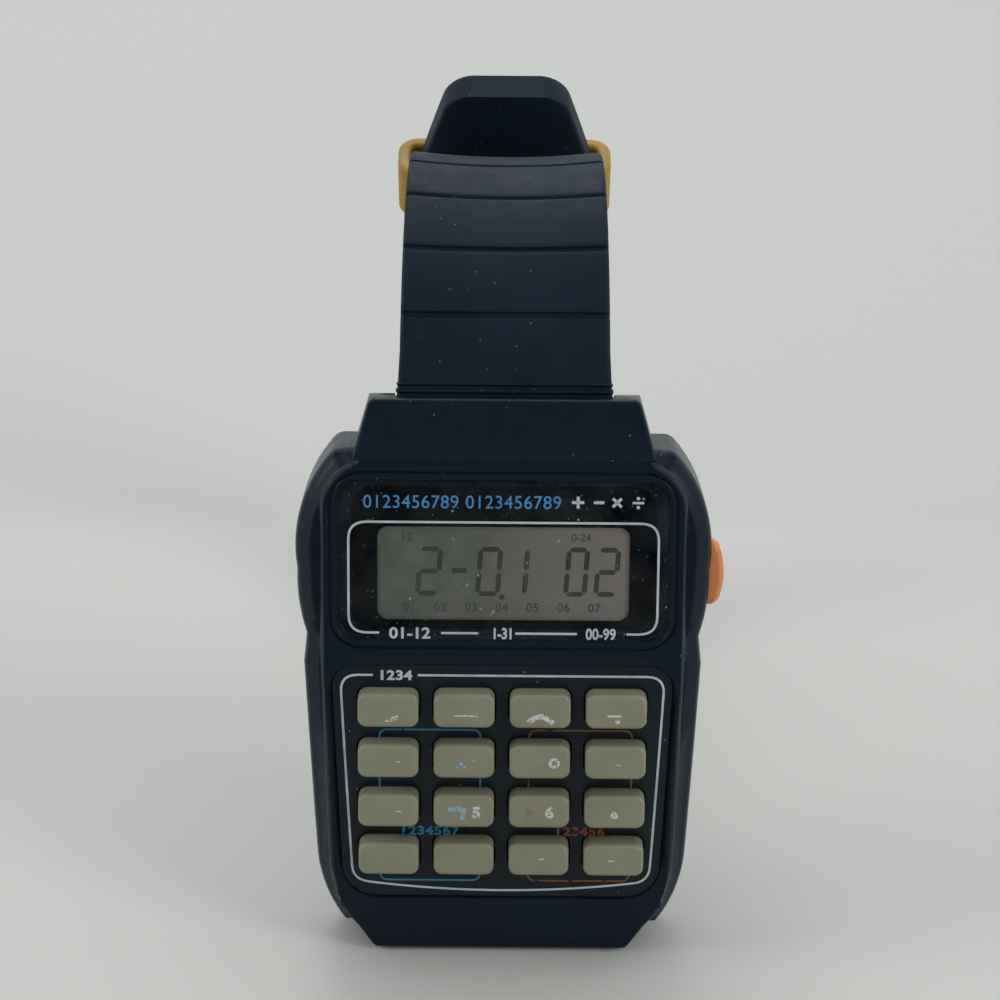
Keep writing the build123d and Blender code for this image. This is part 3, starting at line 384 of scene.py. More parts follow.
def soften_edges(bm, widths):
    """Weigh the sharp edges for the bevel.

    widths gives an edge's rounding in millimetres, by its middle's place on the face and by how far its two
    faces look outwards.
    """
    weights = bm.edges.layers.float.get("bevel_weight_edge") or bm.edges.layers.float.new("bevel_weight_edge")
    found = [(e, widths(*face_place((e.verts[0].co + e.verts[1].co) / 2),
                        *sorted(f.normal.dot(OUT) for f in e.link_faces))) for e in bm.edges
             if len(e.link_faces) == 2 and e.is_convex and e.calc_face_angle() > radians(25)]
    widest = max(width for edge, width in found)
    for edge, width in found:
        edge[weights] = width / widest
    return widest


def finish_piece(name, bm, body, material, replaces=(), soft=0.0, segments=2, smooth=35,
                 weighed=False):
    """Make a mesh object of a bmesh, give it its finish, and let it ride on a body of the frame."""
    mesh = bpy.data.meshes.new(name)
    bm.to_mesh(mesh)
    bm.free()
    piece = add_object(name, mesh)
    mesh.materials.append(MATERIALS[material])
    mesh.shade_smooth()
    mesh.set_sharp_from_angle(angle=radians(smooth))
    if soft:
        rounding = piece.modifiers.new("soft_edges", "BEVEL")
        rounding.width = soft * MM
        rounding.segments = segments
        rounding.limit_method = "WEIGHT" if weighed else "ANGLE"
        rounding.angle_limit = radians(32)
        rounding.use_clamp_overlap = False
    even = piece.modifiers.new("weighted_normals", "WEIGHTED_NORMAL")
    even.keep_sharp = True
    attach(piece, body)
    for cad_node in replaces:
        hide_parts(cad_node)
    return piece


def cad_copy(cad_node):
    """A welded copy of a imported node's mesh, with its flat faces made whole."""
    bm = bmesh.new()
    bm.from_mesh(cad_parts[cad_node].data)
    bmesh.ops.remove_doubles(bm, verts=bm.verts, dist=1e-6)
    bmesh.ops.dissolve_limit(bm, angle_limit=radians(0.6), verts=bm.verts, edges=bm.edges, delimit={"NORMAL"})
    return bm


def dress(cad_nodes, material):
    """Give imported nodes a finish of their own."""
    for cad_node in cad_nodes:
        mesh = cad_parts[cad_node].data
        mesh.materials.clear()
        mesh.materials.append(MATERIALS[material])


def on_face(x, s, height=0.0):
    """A point in metres from millimetres across the bent face, along it and out of it."""
    turn = max(0.0, BEND_START - s) / BEND_RADIUS
    y = BEND_START - BEND_RADIUS * sin(turn) if turn else s
    normal = OUT * cos(turn) - UP * sin(turn)
    return (FACE + Vector((x, 0, 0)) + UP * y + OUT * (BEND_RADIUS * (cos(turn) - 1)) + normal * height) * MM


def face_frame(x, s, height=0.0):
    """Matrix that lays a millimetre drawing on the bent face."""
    turn = max(0.0, BEND_START - s) / BEND_RADIUS
    normal = OUT * cos(turn) - UP * sin(turn)
    along = UP * cos(turn) + OUT * sin(turn)
    axes = axes_matrix(ACROSS, along, normal)
    return Matrix.Translation(on_face(x, s, height)) @ axes @ Matrix.Scale(MM, 4)


def key_frame(row, column, height=0.0):
    """Matrix that lays a millimetre drawing on the face at a key's place."""
    x = (column - (KEY_GRID - 1) / 2) * KEY_PITCH[0]
    return face_frame(x, KEY_FIRST_ROW - KEY_PITCH[1] * row, height)


def stroke(bm, points, width, closed=False):
    """A flat line of even width on the XY plane: one short edge, extruded from point to point."""
    points = [Vector((p[0], p[1], 0)) for p in points]
    count = len(points)
    sides = []
    for i, point in enumerate(points):
        before = points[i - 1] if i or closed else point
        after = points[(i + 1) % count] if i < count - 1 or closed else point
        a = (point - before).normalized() if before != point else (after - point).normalized()
        b = (after - point).normalized() if after != point else a
        middle = (a + b).normalized()
        side = Vector((-middle.y, middle.x, 0)) * (width / 2 / max(0.5, middle.dot(a)))
        sides.append((point + side, point - side))
    row = [bm.verts.new(corner) for corner in sides[0]]
    started = list(row)
    edge = bm.edges.new(row)
    for corners in sides[1:] + (sides[:1] if closed else []):
        grown = bmesh.ops.extrude_edge_only(bm, edges=[edge])["geom"]
        row = sorted(of_kind(grown, bmesh.types.BMVert), key=lambda v: (v.co - row[0].co).length)
        for vertex, corner in zip(row, corners):
            vertex.co = corner
        edge = next(e for e in row[0].link_edges if e.other_vert(row[0]) == row[1])
        started += row
    if closed:
        bmesh.ops.remove_doubles(bm, verts=started, dist=1e-5)


def round_path(corners, radius, step=1.0, closed=True, arc=6):
    """Points along straight runs with rounded corners, close enough together to follow the bent face."""
    corners = [Vector((x, y)) for x, y in corners]
    count = len(corners)
    path = []
    for i, corner in enumerate(corners):
        if not closed and i in (0, count - 1):
            path.append(corner)
            continue
        back = (corners[i - 1] - corner).normalized()
        ahead = (corners[(i + 1) % count] - corner).normalized()
        half = back.angle(ahead) / 2
        cut = radius / max(0.2, sin(half)) * cos(half)
        start, end = corner + back * cut, corner + ahead * cut
        for k in range(arc + 1):
            t = k / arc
            path.append(start.lerp(corner, t).lerp(corner.lerp(end, t), t))
    dense = []
    ends = path[1:] + ([path[0]] if closed else [])
    for a, b in zip(path, ends):
        parts = max(1, int((b - a).length / step))
        dense += [a.lerp(b, k / parts) for k in range(parts)]
    if not closed:
        dense.append(path[-1])
    return dense


def arc_points(x, y, radius, start=0, end=360, count=20):
    """Points round a circle between two angles."""
    turns = [radians(start + (end - start) * k / count) for k in range(count + (end - start != 360))]
    return [(x + radius * cos(t), y + radius * sin(t)) for t in turns]


def lay(bm, height):
    """Bend a millimetre drawing onto the face at a height over it."""
    for vertex in bm.verts:
        vertex.co = on_face(vertex.co.x, vertex.co.y, height + vertex.co.z)
    bmesh.ops.recalc_face_normals(bm, faces=bm.faces)
    if bm.faces and sum((f.normal * f.calc_area() for f in bm.faces), Vector()).dot(OUT) < 0:
        bmesh.ops.reverse_faces(bm, faces=bm.faces)


def lay_print(name, bm, material, height):
    """Bend a drawing onto the face and make it a piece of the watch's head."""
    lay(bm, height)
    finish_piece(name, bm, "watch_head", material)


def dot(bm, x, y, radius, segments=12):
    """Add a filled round spot to a flat drawing."""
    bmesh.ops.create_circle(bm, cap_ends=True, segments=segments, radius=radius,
                            matrix=Matrix.Translation((x, y, 0)))


def write(bm, text, x, y, size, spacing=1.0, align="CENTER", stretch=1.0, lean=0.0, bold=0.0):
    """Add plain figures to a flat drawing, centred or ranged on x, with their foot at y."""
    curve = bpy.data.curves.new("figures", "FONT")
    curve.body = text
    curve.size = size / 0.7
    curve.space_character = spacing
    curve.align_x = align
    curve.resolution_u = 4
    curve.offset = bold
    for vertex in add_curve(bm, curve):
        vertex.co = Vector((x + vertex.co.x * stretch + vertex.co.y * lean, y + vertex.co.y, 0))


def bead(bm, path, radius):
    """A closed round rib along a path in millimetres."""
    curve = bpy.data.curves.new("rib", "CURVE")
    curve.dimensions = "3D"
    curve.bevel_depth = radius
    curve.bevel_resolution = 3
    spline = curve.splines.new("POLY")
    spline.points.add(len(path) - 1)
    for knot, point in zip(spline.points, path):
        knot.co = (point.x, point.y, 0, 1)
    spline.use_cyclic_u = True
    add_curve(bm, curve)


def add_curve(bm, curve):
    """Turn a curve or text into mesh, add it to the drawing, and give back its vertices."""
    holder = add_object(curve.name, curve)
    bpy.context.view_layer.update()
    mesh = bpy.data.meshes.new_from_object(holder.evaluated_get(bpy.context.evaluated_depsgraph_get()))
    before = set(bm.verts)
    bm.from_mesh(mesh)
    bpy.data.objects.remove(holder)
    bpy.data.curves.remove(curve)
    bpy.data.meshes.remove(mesh)
    return set(bm.verts) - before


SEGMENTS = {"0": "abcdef", "1": "bc", "2": "abged", "3": "abgcd", "4": "fgbc", "5": "afgcd", "6": "afgedc",
            "7": "abc", "8": "abcdefg", "9": "abcdfg", "-": "g"}


def segment_figure(bm, figure, left, foot, width, height, thick, lean=0.07):
    """One figure of a seven-segment display, with pointed ends on its bars."""
    half = height / 2
    bars = {"a": (0, height, width, height), "b": (width, half, width, height), "c": (width, 0, width, half),
            "d": (0, 0, width, 0), "e": (0, 0, 0, half), "f": (0, half, 0, height), "g": (0, half, width, half)}
    for name in SEGMENTS[figure]:
        x0, y0, x1, y1 = bars[name]
        start, end = Vector((x0, y0, 0)), Vector((x1, y1, 0))
        along = (end - start).normalized()
        side = Vector((-along.y, along.x, 0)) * thick / 2
        gap = along * thick * 0.12
        shape = (start + gap, start + along * thick / 2 + gap + side, end - along * thick / 2 - gap + side,
                 end - gap, end - along * thick / 2 - gap - side, start + along * thick / 2 + gap - side)
        inset = Vector((left + thick / 2, foot + thick / 2, 0))
        corners = [bm.verts.new(point + inset + Vector((lean * point.y, 0, 0))) for point in shape]
        bm.faces.new(corners)


class StrapSettings(bpy.types.PropertyGroup):
    """Sizes of the resin strap, in millimetres along and across it."""
    root_width: FloatProperty(name="Root width", description="Width between the lugs", default=18.0, min=10)
    neck_width: FloatProperty(name="Neck width", description="Width just past the lugs", default=17.4, min=10)
    body_width: FloatProperty(name="Body width", description="Width of the rest of the strap", default=16.6,
                              min=10)
    thickness: FloatProperty(name="Thickness", description="Thickness of the resin", default=2.6, min=1)
    corner: FloatProperty(name="Edge radius", description="Rounding of the four long edges", default=0.42,
                          min=0)
    curl: FloatProperty(name="Edge curl", description="How far the edges stand over the middle on a bend",
                        default=0.5, min=0)
    groove_depth: FloatProperty(name="Groove depth", description="Depth of the cross grooves", default=0.32,
                                min=0)
    groove_pitch: FloatProperty(name="Groove spacing", description="Distance between cross grooves",
                                default=5.6, min=1)


class KeySettings(bpy.types.PropertyGroup):
    """Shape of the keys."""
    corner: FloatProperty(name="Corner radius", description="Rounding of a key's upright edges", default=0.75,
                          min=0)
    rim: FloatProperty(name="Rim radius", description="Rounding round a key's top", default=0.34, min=0)
    rim_steps: IntProperty(name="Rim steps", description="Facets across the rounded rim", default=4, min=1,
                           max=8)
    line_width: FloatProperty(name="Line width", description="Width of the printed frame lines",
                              default=LINE_WIDTH, min=0.05)


class CaseSettings(bpy.types.PropertyGroup):
    """Softness of the moulded edges."""
    shoulder_edge: FloatProperty(name="Shoulder edges", description="Rounding round the top shoulder",
                                 default=0.28, min=0)
    chin_edge: FloatProperty(name="Chin edges", description="Rounding round the chin", default=0.28, min=0)
    wing_edge: FloatProperty(name="Side edges", description="Rounding along the sides of the case",
                             default=0.5, min=0)
    button_crown: FloatProperty(name="Button crown",
                                description="How far the button's ends lie behind its middle", default=0.6,
                                min=0)
    brow_edge: FloatProperty(name="Brow edges", description="Rounding between the sloped sides and the front",
                             default=0.18, min=0)


class StageSettings(bpy.types.PropertyGroup):
    """Studio round the watch."""
    floor_near: FloatVectorProperty(name="Table colour",
                                    description="Colour of the table in front of its edge", subtype="COLOR",
                                    default=srgb("#c8c9c3")[:3], min=0, max=1)
    # Far colour: a little darker, a painted shade standing for the backdrop wall, which gets less light than
    # the table
    floor_far_painted_shade: FloatVectorProperty(name="Backdrop colour", description="Colour behind the table's edge",
                                   subtype="COLOR", default=srgb("#c3c4bf")[:3], min=0, max=1)
    distance: FloatProperty(name="Camera distance", description="From the camera to the display",
                            subtype="DISTANCE", default=0.239, min=0.05)


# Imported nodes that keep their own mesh, by finish
PLAIN_FINISHES = {
    "steel": ("case_back_screws", "spring_bar_12", "spring_bar_6", "module_screws", "quartz_crystal", "battery",
              "battery_clip", "button_spring", "button_clip", "button_contact", "buckle_pin"),
    "brass": ("piezo_disc", "piezo_contact"),
    "film": ("battery_insulator",),
    "nylon": ("module_frame",),
    "board": ("circuit_board",),
    "blob": ("chip_blob",),
    "ceramic": ("chip_capacitors",),
    "silicone": ("keypad_membrane", "zebra_strip_lower", "zebra_strip_upper"),
    "seal": ("back_gasket", "button_seal"),
    "mask": ("display_mask",),
    "lcd": ("lcd_cell",),
    "back_steel": ("lcd_reflector",),
}


class WATCH_OT_case(bpy.types.Operator):
    """Make the moulded case with softened edges and its brushed back, and finish the pieces inside"""
    bl_idname = "watch.case"
    bl_label = "Case"

    def execute(self, context):
        settings = context.scene.watch_case
        shell = cad_copy("case")

        def widths(x, y, height, side, front):
            """Rounding of an edge of the case, by where it is and what it parts."""
            if y > 18 and abs(x) < 12.4 and height > -3.6:
                return settings.shoulder_edge
            if y < -21.3 and abs(x) < 13.6 and height > -4.2:
                return settings.chin_edge
            if abs(x) > 12 and abs(side) < 0.25 and 0.5 < front < 0.85:
                return settings.wing_edge
            if y > 17 and 13 < abs(x) < 14.5 and abs(side) < 0.1 and abs(front) < 0.1:
                return settings.wing_edge
            if y > 4 and abs(x) > 14.9 and 0.5 < side < 0.85 and front > 0.95:
                return settings.brow_edge
            return 0.0

        widest = soften_edges(shell, widths)
        finish_piece("case_shell", shell, "watch_head", "case", ["case"], widest, 3, smooth=54,
                     weighed=True)
        finish_piece("back_plate", cad_copy("case_back"), "watch_head", "back_steel", ["case_back"])
        for material, cad_nodes in PLAIN_FINISHES.items():
            dress(cad_nodes, material)
        return {"FINISHED"}


class WATCH_OT_display(bpy.types.Operator):
    """Make the display: lens, printed surround, and the figures of the liquid-crystal cell"""
    bl_idname = "watch.display"
    bl_label = "Display"

    def execute(self, context):
        finish_piece("lens", cad_copy("display_lens"), "watch_head", "lens", ["display_lens"],
                     0.05)
        self.figures()
        self.surround()
        lip = bmesh.new()
        side, foot, top = 13.9, 2.3, 16.5
        outline = [(-side, foot), (side, foot), (side, top), (-side, top)]
        bead(lip, round_path(outline, 2.3, arc=10), LIP_RADIUS)
        lay(lip, -0.05)
        finish_piece("lens_lip", lip, "watch_head", "case", smooth=80)
        return {"FINISHED"}

    def figures(self):
        """The date in seven-segment figures, and the small figures over and under it."""
        figures = bmesh.new()
        thick, foot, height = 0.42, 6.04, 4.22
        stroke(figures, [(-4.25, 8.2), (-3.05, 8.2)], thick)
        for figure, left, right in (("2", -7.29, -5.23), ("0", -2.34, -0.27), ("1", -0.1, 1.95),
                                    ("0", 4.95, 6.9), ("2", 7.45, 9.46)):
            segment_figure(figures, figure, left, foot, right - left - thick, height - thick, thick)
        dot(figures, -0.1, 5.95, 0.24, 8)
        lay_print("lcd_figures", figures, "segment", -LCD_FRONT + 0.015)
        faint = bmesh.new()
        for day in range(7):
            write(faint, f"0{day + 1}", -7.75 + day * 2.55, 4.72, 0.74, 1.05, bold=0.02)
        upper = 10.78
        write(faint, "12", -8.0, upper, 0.7, bold=0.02)
        write(faint, "0-24", 6.4, upper, 0.66, 0.95, bold=0.02)
        lay_print("lcd_small_figures", faint, "faint_segment", -LCD_FRONT + 0.012)

    def surround(self):
        """White and blue print on the lens, round the display window."""
        white = bmesh.new()
        half, foot, top, radius = 12.72, 3.24, 12.68, 1.5
        gaps = ((-9.66, -5.69), (-1.06, 1.01), (6.63, 9.53))
        loop = round_path([(-half, foot), (half, foot), (half, top), (-half, top)], radius)
        start = next(i for i, p in enumerate(loop)
                     if abs(p.y - foot) < NEAR and gaps[0][0] < p.x < gaps[0][1])
        runs = [[]]
        for p in loop[start:] + loop[:start + 1]:
            if abs(p.y - foot) < NEAR and any(a < p.x < b for a, b in gaps):
                runs.append([])
            else:
                runs[-1].append(p)
        for run in runs:
            if len(run) > 1:
                stroke(white, run, LINE_WIDTH)
        for text, x, spacing, stretch in (("01-12", -7.68, 1.0, 1.12), ("1-31", -0.02, 0.95, 0.8),
                                          ("00-99", 8.08, 1.0, 0.82)):
            write(white, text, x, 2.78, 0.92, spacing, stretch=stretch, bold=0.035)
        self.signs(white, 14.42, 0.24)
        lay_print("surround_print", white, "white_ink", PRINT_OVER)
        blue = bmesh.new()
        write(blue, "0123456789 0123456789", -3.4, 13.86, 1.1, 1.05, stretch=0.96)
        lay_print("figure_row_print", blue, "blue_ink", PRINT_OVER)

    def signs(self, white, y, width):
        """The four signs of arithmetic at a height, in lines of a width."""
        stroke(white, [(5.56, y), (6.56, y)], width)
        stroke(white, [(6.06, y - 0.5), (6.06, y + 0.5)], width)
        stroke(white, [(7.34, y), (8.2, y)], width)
        times, reach = 9.25, 0.36
        for side in (-1, 1):
            stroke(white, [(times - reach, y - reach * side), (times + reach, y + reach * side)], width)
        stroke(white, [(10.5, y), (11.44, y)], 0.2)
        for side in (-1, 1):
            dot(white, 10.97, y + side * 0.38, 0.15, 10)


# What is left of the paint, by key: lines and their width, spots, a ring and two figures
REMNANTS = (
    ("paint", "rubbed_ink", {
        (0, 0): [("line", [(-0.2, -0.85), (0.4, -0.8), (0.75, -0.6)], 0.2),
                 ("line", [(0.3, -0.7), (0.85, -0.45)], 0.3)],
        (0, 1): [("line", [(-0.85, -0.4), (-0.1, -0.35), (1.1, -0.4)], 0.14)],
        (0, 2): [("line", [(-1.0, -0.9), (-0.55, -0.55), (0.1, -0.35), (0.6, -0.6), (1.1, -0.95)], 0.42)],
        (0, 3): [("line", [(-0.75, -0.3), (0.4, -0.3)], 0.2), ("dot", 0.1, -0.78, 0.2)],
        (1, 0): [("line", [(0.5, 0.0), (1.0, 0.05)], 0.1)],
        (1, 2): [("ring", 1.2, 0.0, 0.34, 0.26)],
        (1, 3): [("line", [(0.1, -0.1), (0.5, -0.15)], 0.09)],
        (2, 0): [("line", [(0.6, 0.05), (1.1, 0.0)], 0.1)],
        (2, 1): [("figure", "5", 1.05, -0.48, 0.95)],
        (2, 2): [("figure", "6", 0.85, -0.46, 0.95)],
        (2, 3): [("dot", 0.0, -0.2, 0.34)],
        (3, 2): [("line", [(0.0, 0.1), (0.5, 0.2)], 0.12)],
        (3, 3): [("line", [(-0.5, 0.05), (0.2, 0.0)], 0.1)]}),
    ("blue_paint", "rubbed_blue_ink", {
        (2, 1): [("line", [(-1.35, 0.2), (-0.5, 0.32), (0.0, 0.2), (-0.15, -0.7)], 0.42)],
        (1, 1): [("line", [(-0.6, -0.5), (-0.25, -0.1), (0.1, -0.5)], 0.24), ("dot", 0.87, 0.12, 0.16)]}),
    ("orange_paint", "rubbed_orange_ink", {
        (2, 2): [("line", [(-1.15, 0.3), (-0.7, 0.0), (-1.1, -0.3)], 0.4)]}),
)


class WATCH_OT_keypad(bpy.types.Operator):
    """Make the keypad: bent plate with its printed frames, sixteen keys and what is left of their paint"""
    bl_idname = "watch.keypad"
    bl_label = "Keypad"

    def execute(self, context):
        keys = context.scene.watch_keys
        finish_piece("keypad_cover", cad_copy("keypad_plate"), "watch_head", "plate", ["keypad_plate"],
                     0.06)
        for row in range(KEY_GRID):
            for column in range(KEY_GRID):
                self.key(keys, row, column)
        self.frames(keys)
        self.remnants()
        return {"FINISHED"}

    def key(self, keys, row, column):
        """One key cap: a block with round corners and a soft rim."""
        bm = bmesh.new()
        depth = KEY_HEIGHT + KEY_FOOT
        bmesh.ops.create_cube(bm, size=1, matrix=Matrix.Diagonal((KEY_SIZE[0], KEY_SIZE[1], depth, 1)))
        bmesh.ops.translate(bm, verts=bm.verts, vec=(0, 0, KEY_HEIGHT - depth / 2))
        bevel(bm, upright(bm), keys.corner, 6)
        bevel(bm, [e for e in bm.edges if all(v.co.z > KEY_HEIGHT - NEAR for v in e.verts)], keys.rim,
              keys.rim_steps)
        bm.transform(key_frame(row, column))
        name = f"key_r{row + 1}c{column + 1}"
        finish_piece(f"cap_r{row + 1}c{column + 1}", bm, name, "key", [name], smooth=50)

    def frames(self, keys):
        """Frame lines and figures printed on the plate."""
        height = -PLATE_SUNK + 0.012
        white = bmesh.new()
        half_top, half_foot, top, foot, bow = 13.46, 12.55, -0.47, -19.25, 0.95
        path = round_path([(-7.01, top), (half_top, top), (half_foot, foot), (-half_foot, foot),
                           (-half_top, top), (-10.74, top)], 1.4, closed=False)
        for point in path:
            share = smooth_step((foot + 2.5 - point.y) / 2.5)
            point.y -= bow * share * max(0.0, 1 - (point.x / half_foot) ** 2)
        stroke(white, path, keys.line_width)
        write(white, "1234", -8.9, top - 0.4, 0.8, 1.05, stretch=1.2, bold=0.04)
        lay_print("keypad_frame_print", white, "white_ink", height)
        label, upper, lower = -14.47, -5.25, -19.24
        for name, material, left, right, middle, text in (
                ("advance_print", "dim_blue_ink", -10.22, -1.79, -6.05, "1234567"),
                ("select_print", "orange_ink", 2.26, 10.85, 6.6, "123456")):
            bm = bmesh.new()
            for end, side in ((upper, 1), (lower, -1)):
                near = label + side * 0.55
                stroke(bm, round_path([(left, near), (left, end), (right, end), (right, near)], 0.7,
                                      closed=False), 0.16)
            write(bm, text, middle, label - 0.42, 0.8, 1.1, stretch=1.15, bold=0.04)
            lay_print(name, bm, material, height)

    def remnants(self):
        """What is left of the paint on the key tops: dashes, an arch, dots and two figures."""
        for prefix, material, marks in REMNANTS:
            self.paint(marks, prefix, material)

    def paint(self, marks, prefix, material):
        """Marks of one ink on the key tops, one piece for each key."""
        for (row, column), drawn in marks.items():
            bm = bmesh.new()
            for kind, *facts in drawn:
                if kind == "line":
                    stroke(bm, *facts)
                elif kind == "dot":
                    dot(bm, *facts)
                elif kind == "ring":
                    *circle, width = facts
                    stroke(bm, arc_points(*circle), width, closed=True)
                else:
                    write(bm, *facts, bold=0.07)
            bmesh.ops.recalc_face_normals(bm, faces=bm.faces)
            down = [f for f in bm.faces if f.normal.z < 0]
            bmesh.ops.reverse_faces(bm, faces=down)
            bm.transform(key_frame(row, column, KEY_HEIGHT + 0.008))
            finish_piece(f"{prefix}_r{row + 1}c{column + 1}", bm, f"key_r{row + 1}c{column + 1}", material)


class WATCH_OT_button(bpy.types.Operator):
    """Make the push button's cap with soft edges and a crowned outer face"""
    bl_idname = "watch.button"
    bl_label = "Push button"

    def execute(self, context):
        crown = context.scene.watch_case.button_crown
        cap = cad_copy("side_button")
        outside = [face_place(v.co) for v in cap.verts if v.co.x > BUTTON_FACE * MM]
        low, high = min(p[1] for p in outside), max(p[1] for p in outside)
        middle, half = (low + high) / 2, (high - low) / 2
        for share in (-0.85, -0.65, -0.4, -0.15, 0.15, 0.4, 0.65, 0.85):
            bmesh.ops.bisect_plane(cap, geom=cap.verts[:] + cap.edges[:] + cap.faces[:], plane_no=UP,
                                   plane_co=(FACE + UP * (middle + half * share)) * MM)
        for vertex in cap.verts:
            if vertex.co.x > BUTTON_FACE * MM:
                vertex.co.x -= crown * ((face_place(vertex.co)[1] - middle) / half) ** 2 * MM
        finish_piece("button_cap", cap, "side_button", "button", ["side_button"], 0.12, 3,
                     smooth=50)
        return {"FINISHED"}


class Course:
    """Middle line of a strap from the side: straight runs and arcs, each a length and a turn in degrees."""

    def __init__(self, start, heading, runs):
        self.runs = []
        place, course = Vector(start), radians(heading)
        for length, turn in runs:
            self.runs.append((place, course, length, radians(turn)))
            place, course = self.step(place, course, length, radians(turn), length)
        self.length = sum(run[2] for run in self.runs)

    @staticmethod
    def step(place, course, length, turn, distance):
        """Place and course at a distance into a run."""
        if not turn:
            return place + Vector((cos(course), sin(course))) * distance, course
        radius = length / turn
        ahead = course + distance / radius
        return place + Vector((sin(ahead) - sin(course), cos(course) - cos(ahead))) * radius, ahead

    def at(self, distance):
        """Place and course at a distance from the bar."""
        for place, course, length, turn in self.runs:
            if distance <= length or (place, course, length, turn) == self.runs[-1]:
                return self.step(place, course, length, turn, distance)
            distance -= length


def sweep(bm, strap, stations, place):
    """Extrude a rounded strap section from station to station; place(x, y, distance) gives each point."""
    layer = bm.verts.layers.float_vector.new("strap_place")
    bmesh.ops.create_grid(bm, x_segments=14, y_segments=1, size=0.5)
    bmesh.ops.scale(bm, verts=bm.verts, vec=(strap.root_width, strap.thickness, 1))
    bevel(bm, [v for v in bm.verts if len(v.link_edges) == 2], strap.corner, 4, "VERTICES")
    for vertex in bm.verts:
        vertex[layer] = (vertex.co.x, vertex.co.y, stations[0])
    end = list(bm.faces)
    for distance in stations[1:]:
        grown = bmesh.ops.extrude_face_region(bm, geom=end)["geom"]
        end = of_kind(grown, bmesh.types.BMFace)
        for vertex in of_kind(grown, bmesh.types.BMVert):
            vertex[layer] = (vertex[layer].x, vertex[layer].y, distance)
    for vertex in bm.verts:
        vertex.co = place(*vertex[layer])
    bmesh.ops.recalc_face_normals(bm, faces=bm.faces)


def rod(bm, centre, radius, start, end, rim=0.2, segments=40):
    """A round bar across the watch with softened ends, in millimetres."""
    turn = Matrix.Translation(((start + end) / 2, centre[0], centre[1])) @ Matrix.Rotation(pi / 2, 4, "Y")
    verts = bmesh.ops.create_cone(bm, cap_ends=True, segments=segments, radius1=radius, radius2=radius,
                                  depth=end - start, matrix=turn)["verts"]
    if rim:
        edges = {e for v in verts for e in v.link_edges if abs(e.verts[0].co.x - e.verts[1].co.x) < 1e-5}
        bevel(bm, list(edges), rim, 3)


def scaled(bm):
    """Turn millimetres into metres."""
    bmesh.ops.scale(bm, verts=bm.verts, vec=(MM, MM, MM))


def carve(bm, cutters):
    """Cut one closed mesh out of another with the exact boolean; both are used up and a new one is given."""
    objects = []
    for name, source in (("carved", bm), ("cutters", cutters)):
        mesh = bpy.data.meshes.new(name)
        source.to_mesh(mesh)
        source.free()
        objects.append(add_object(name, mesh))
    cut = objects[0].modifiers.new("cut", "BOOLEAN")
    cut.operation = "DIFFERENCE"
    cut.object = objects[1]
    cut.solver = "EXACT"
    cut.use_self = True
    bpy.context.view_layer.update()
    mesh = bpy.data.meshes.new_from_object(objects[0].evaluated_get(bpy.context.evaluated_depsgraph_get()))
    made = bmesh.new()
    made.from_mesh(mesh)
    for holder in objects:
        old = holder.data
        bpy.data.objects.remove(holder)
        bpy.data.meshes.remove(old)
    bpy.data.meshes.remove(mesh)
    return made


def smooth_step(t):
    """Ease from 0 to 1."""
    t = min(1.0, max(0.0, t))
    return t * t * (3 - 2 * t)


def curl_along(height, start, rise, end, fall):
    """Function for how far a strap's edges stand over its middle: in after start, out again before end."""
    def curl(distance):
        return height * smooth_step((distance - start) / rise) * smooth_step((end - distance) / fall)
    return curl


def strap_stations(length, step, grooves, ridges=(), tip=0.0):
    """Distances at which the strap's section is set, closer together at grooves, ridges and a round tip."""
    marks = [length * k / round(length / step) for k in range(round(length / step) + 1)]
    for groove in grooves:
        marks = [m for m in marks if abs(m - groove) > 0.55]
        marks += [groove + offset for offset in (-0.5, -0.26, -0.14, 0, 0.14, 0.26, 0.5)]
    for low, high in ridges:
        marks = [m for m in marks if not low - 0.25 < m < high + 0.25] + [low - 0.15, low, high, high + 0.15]
    if tip:
        marks = [m for m in marks if m < length - tip]
        marks += [length - tip * (1 - sin(pi / 2 * k / 7)) for k in range(8)]
    return sorted(marks)


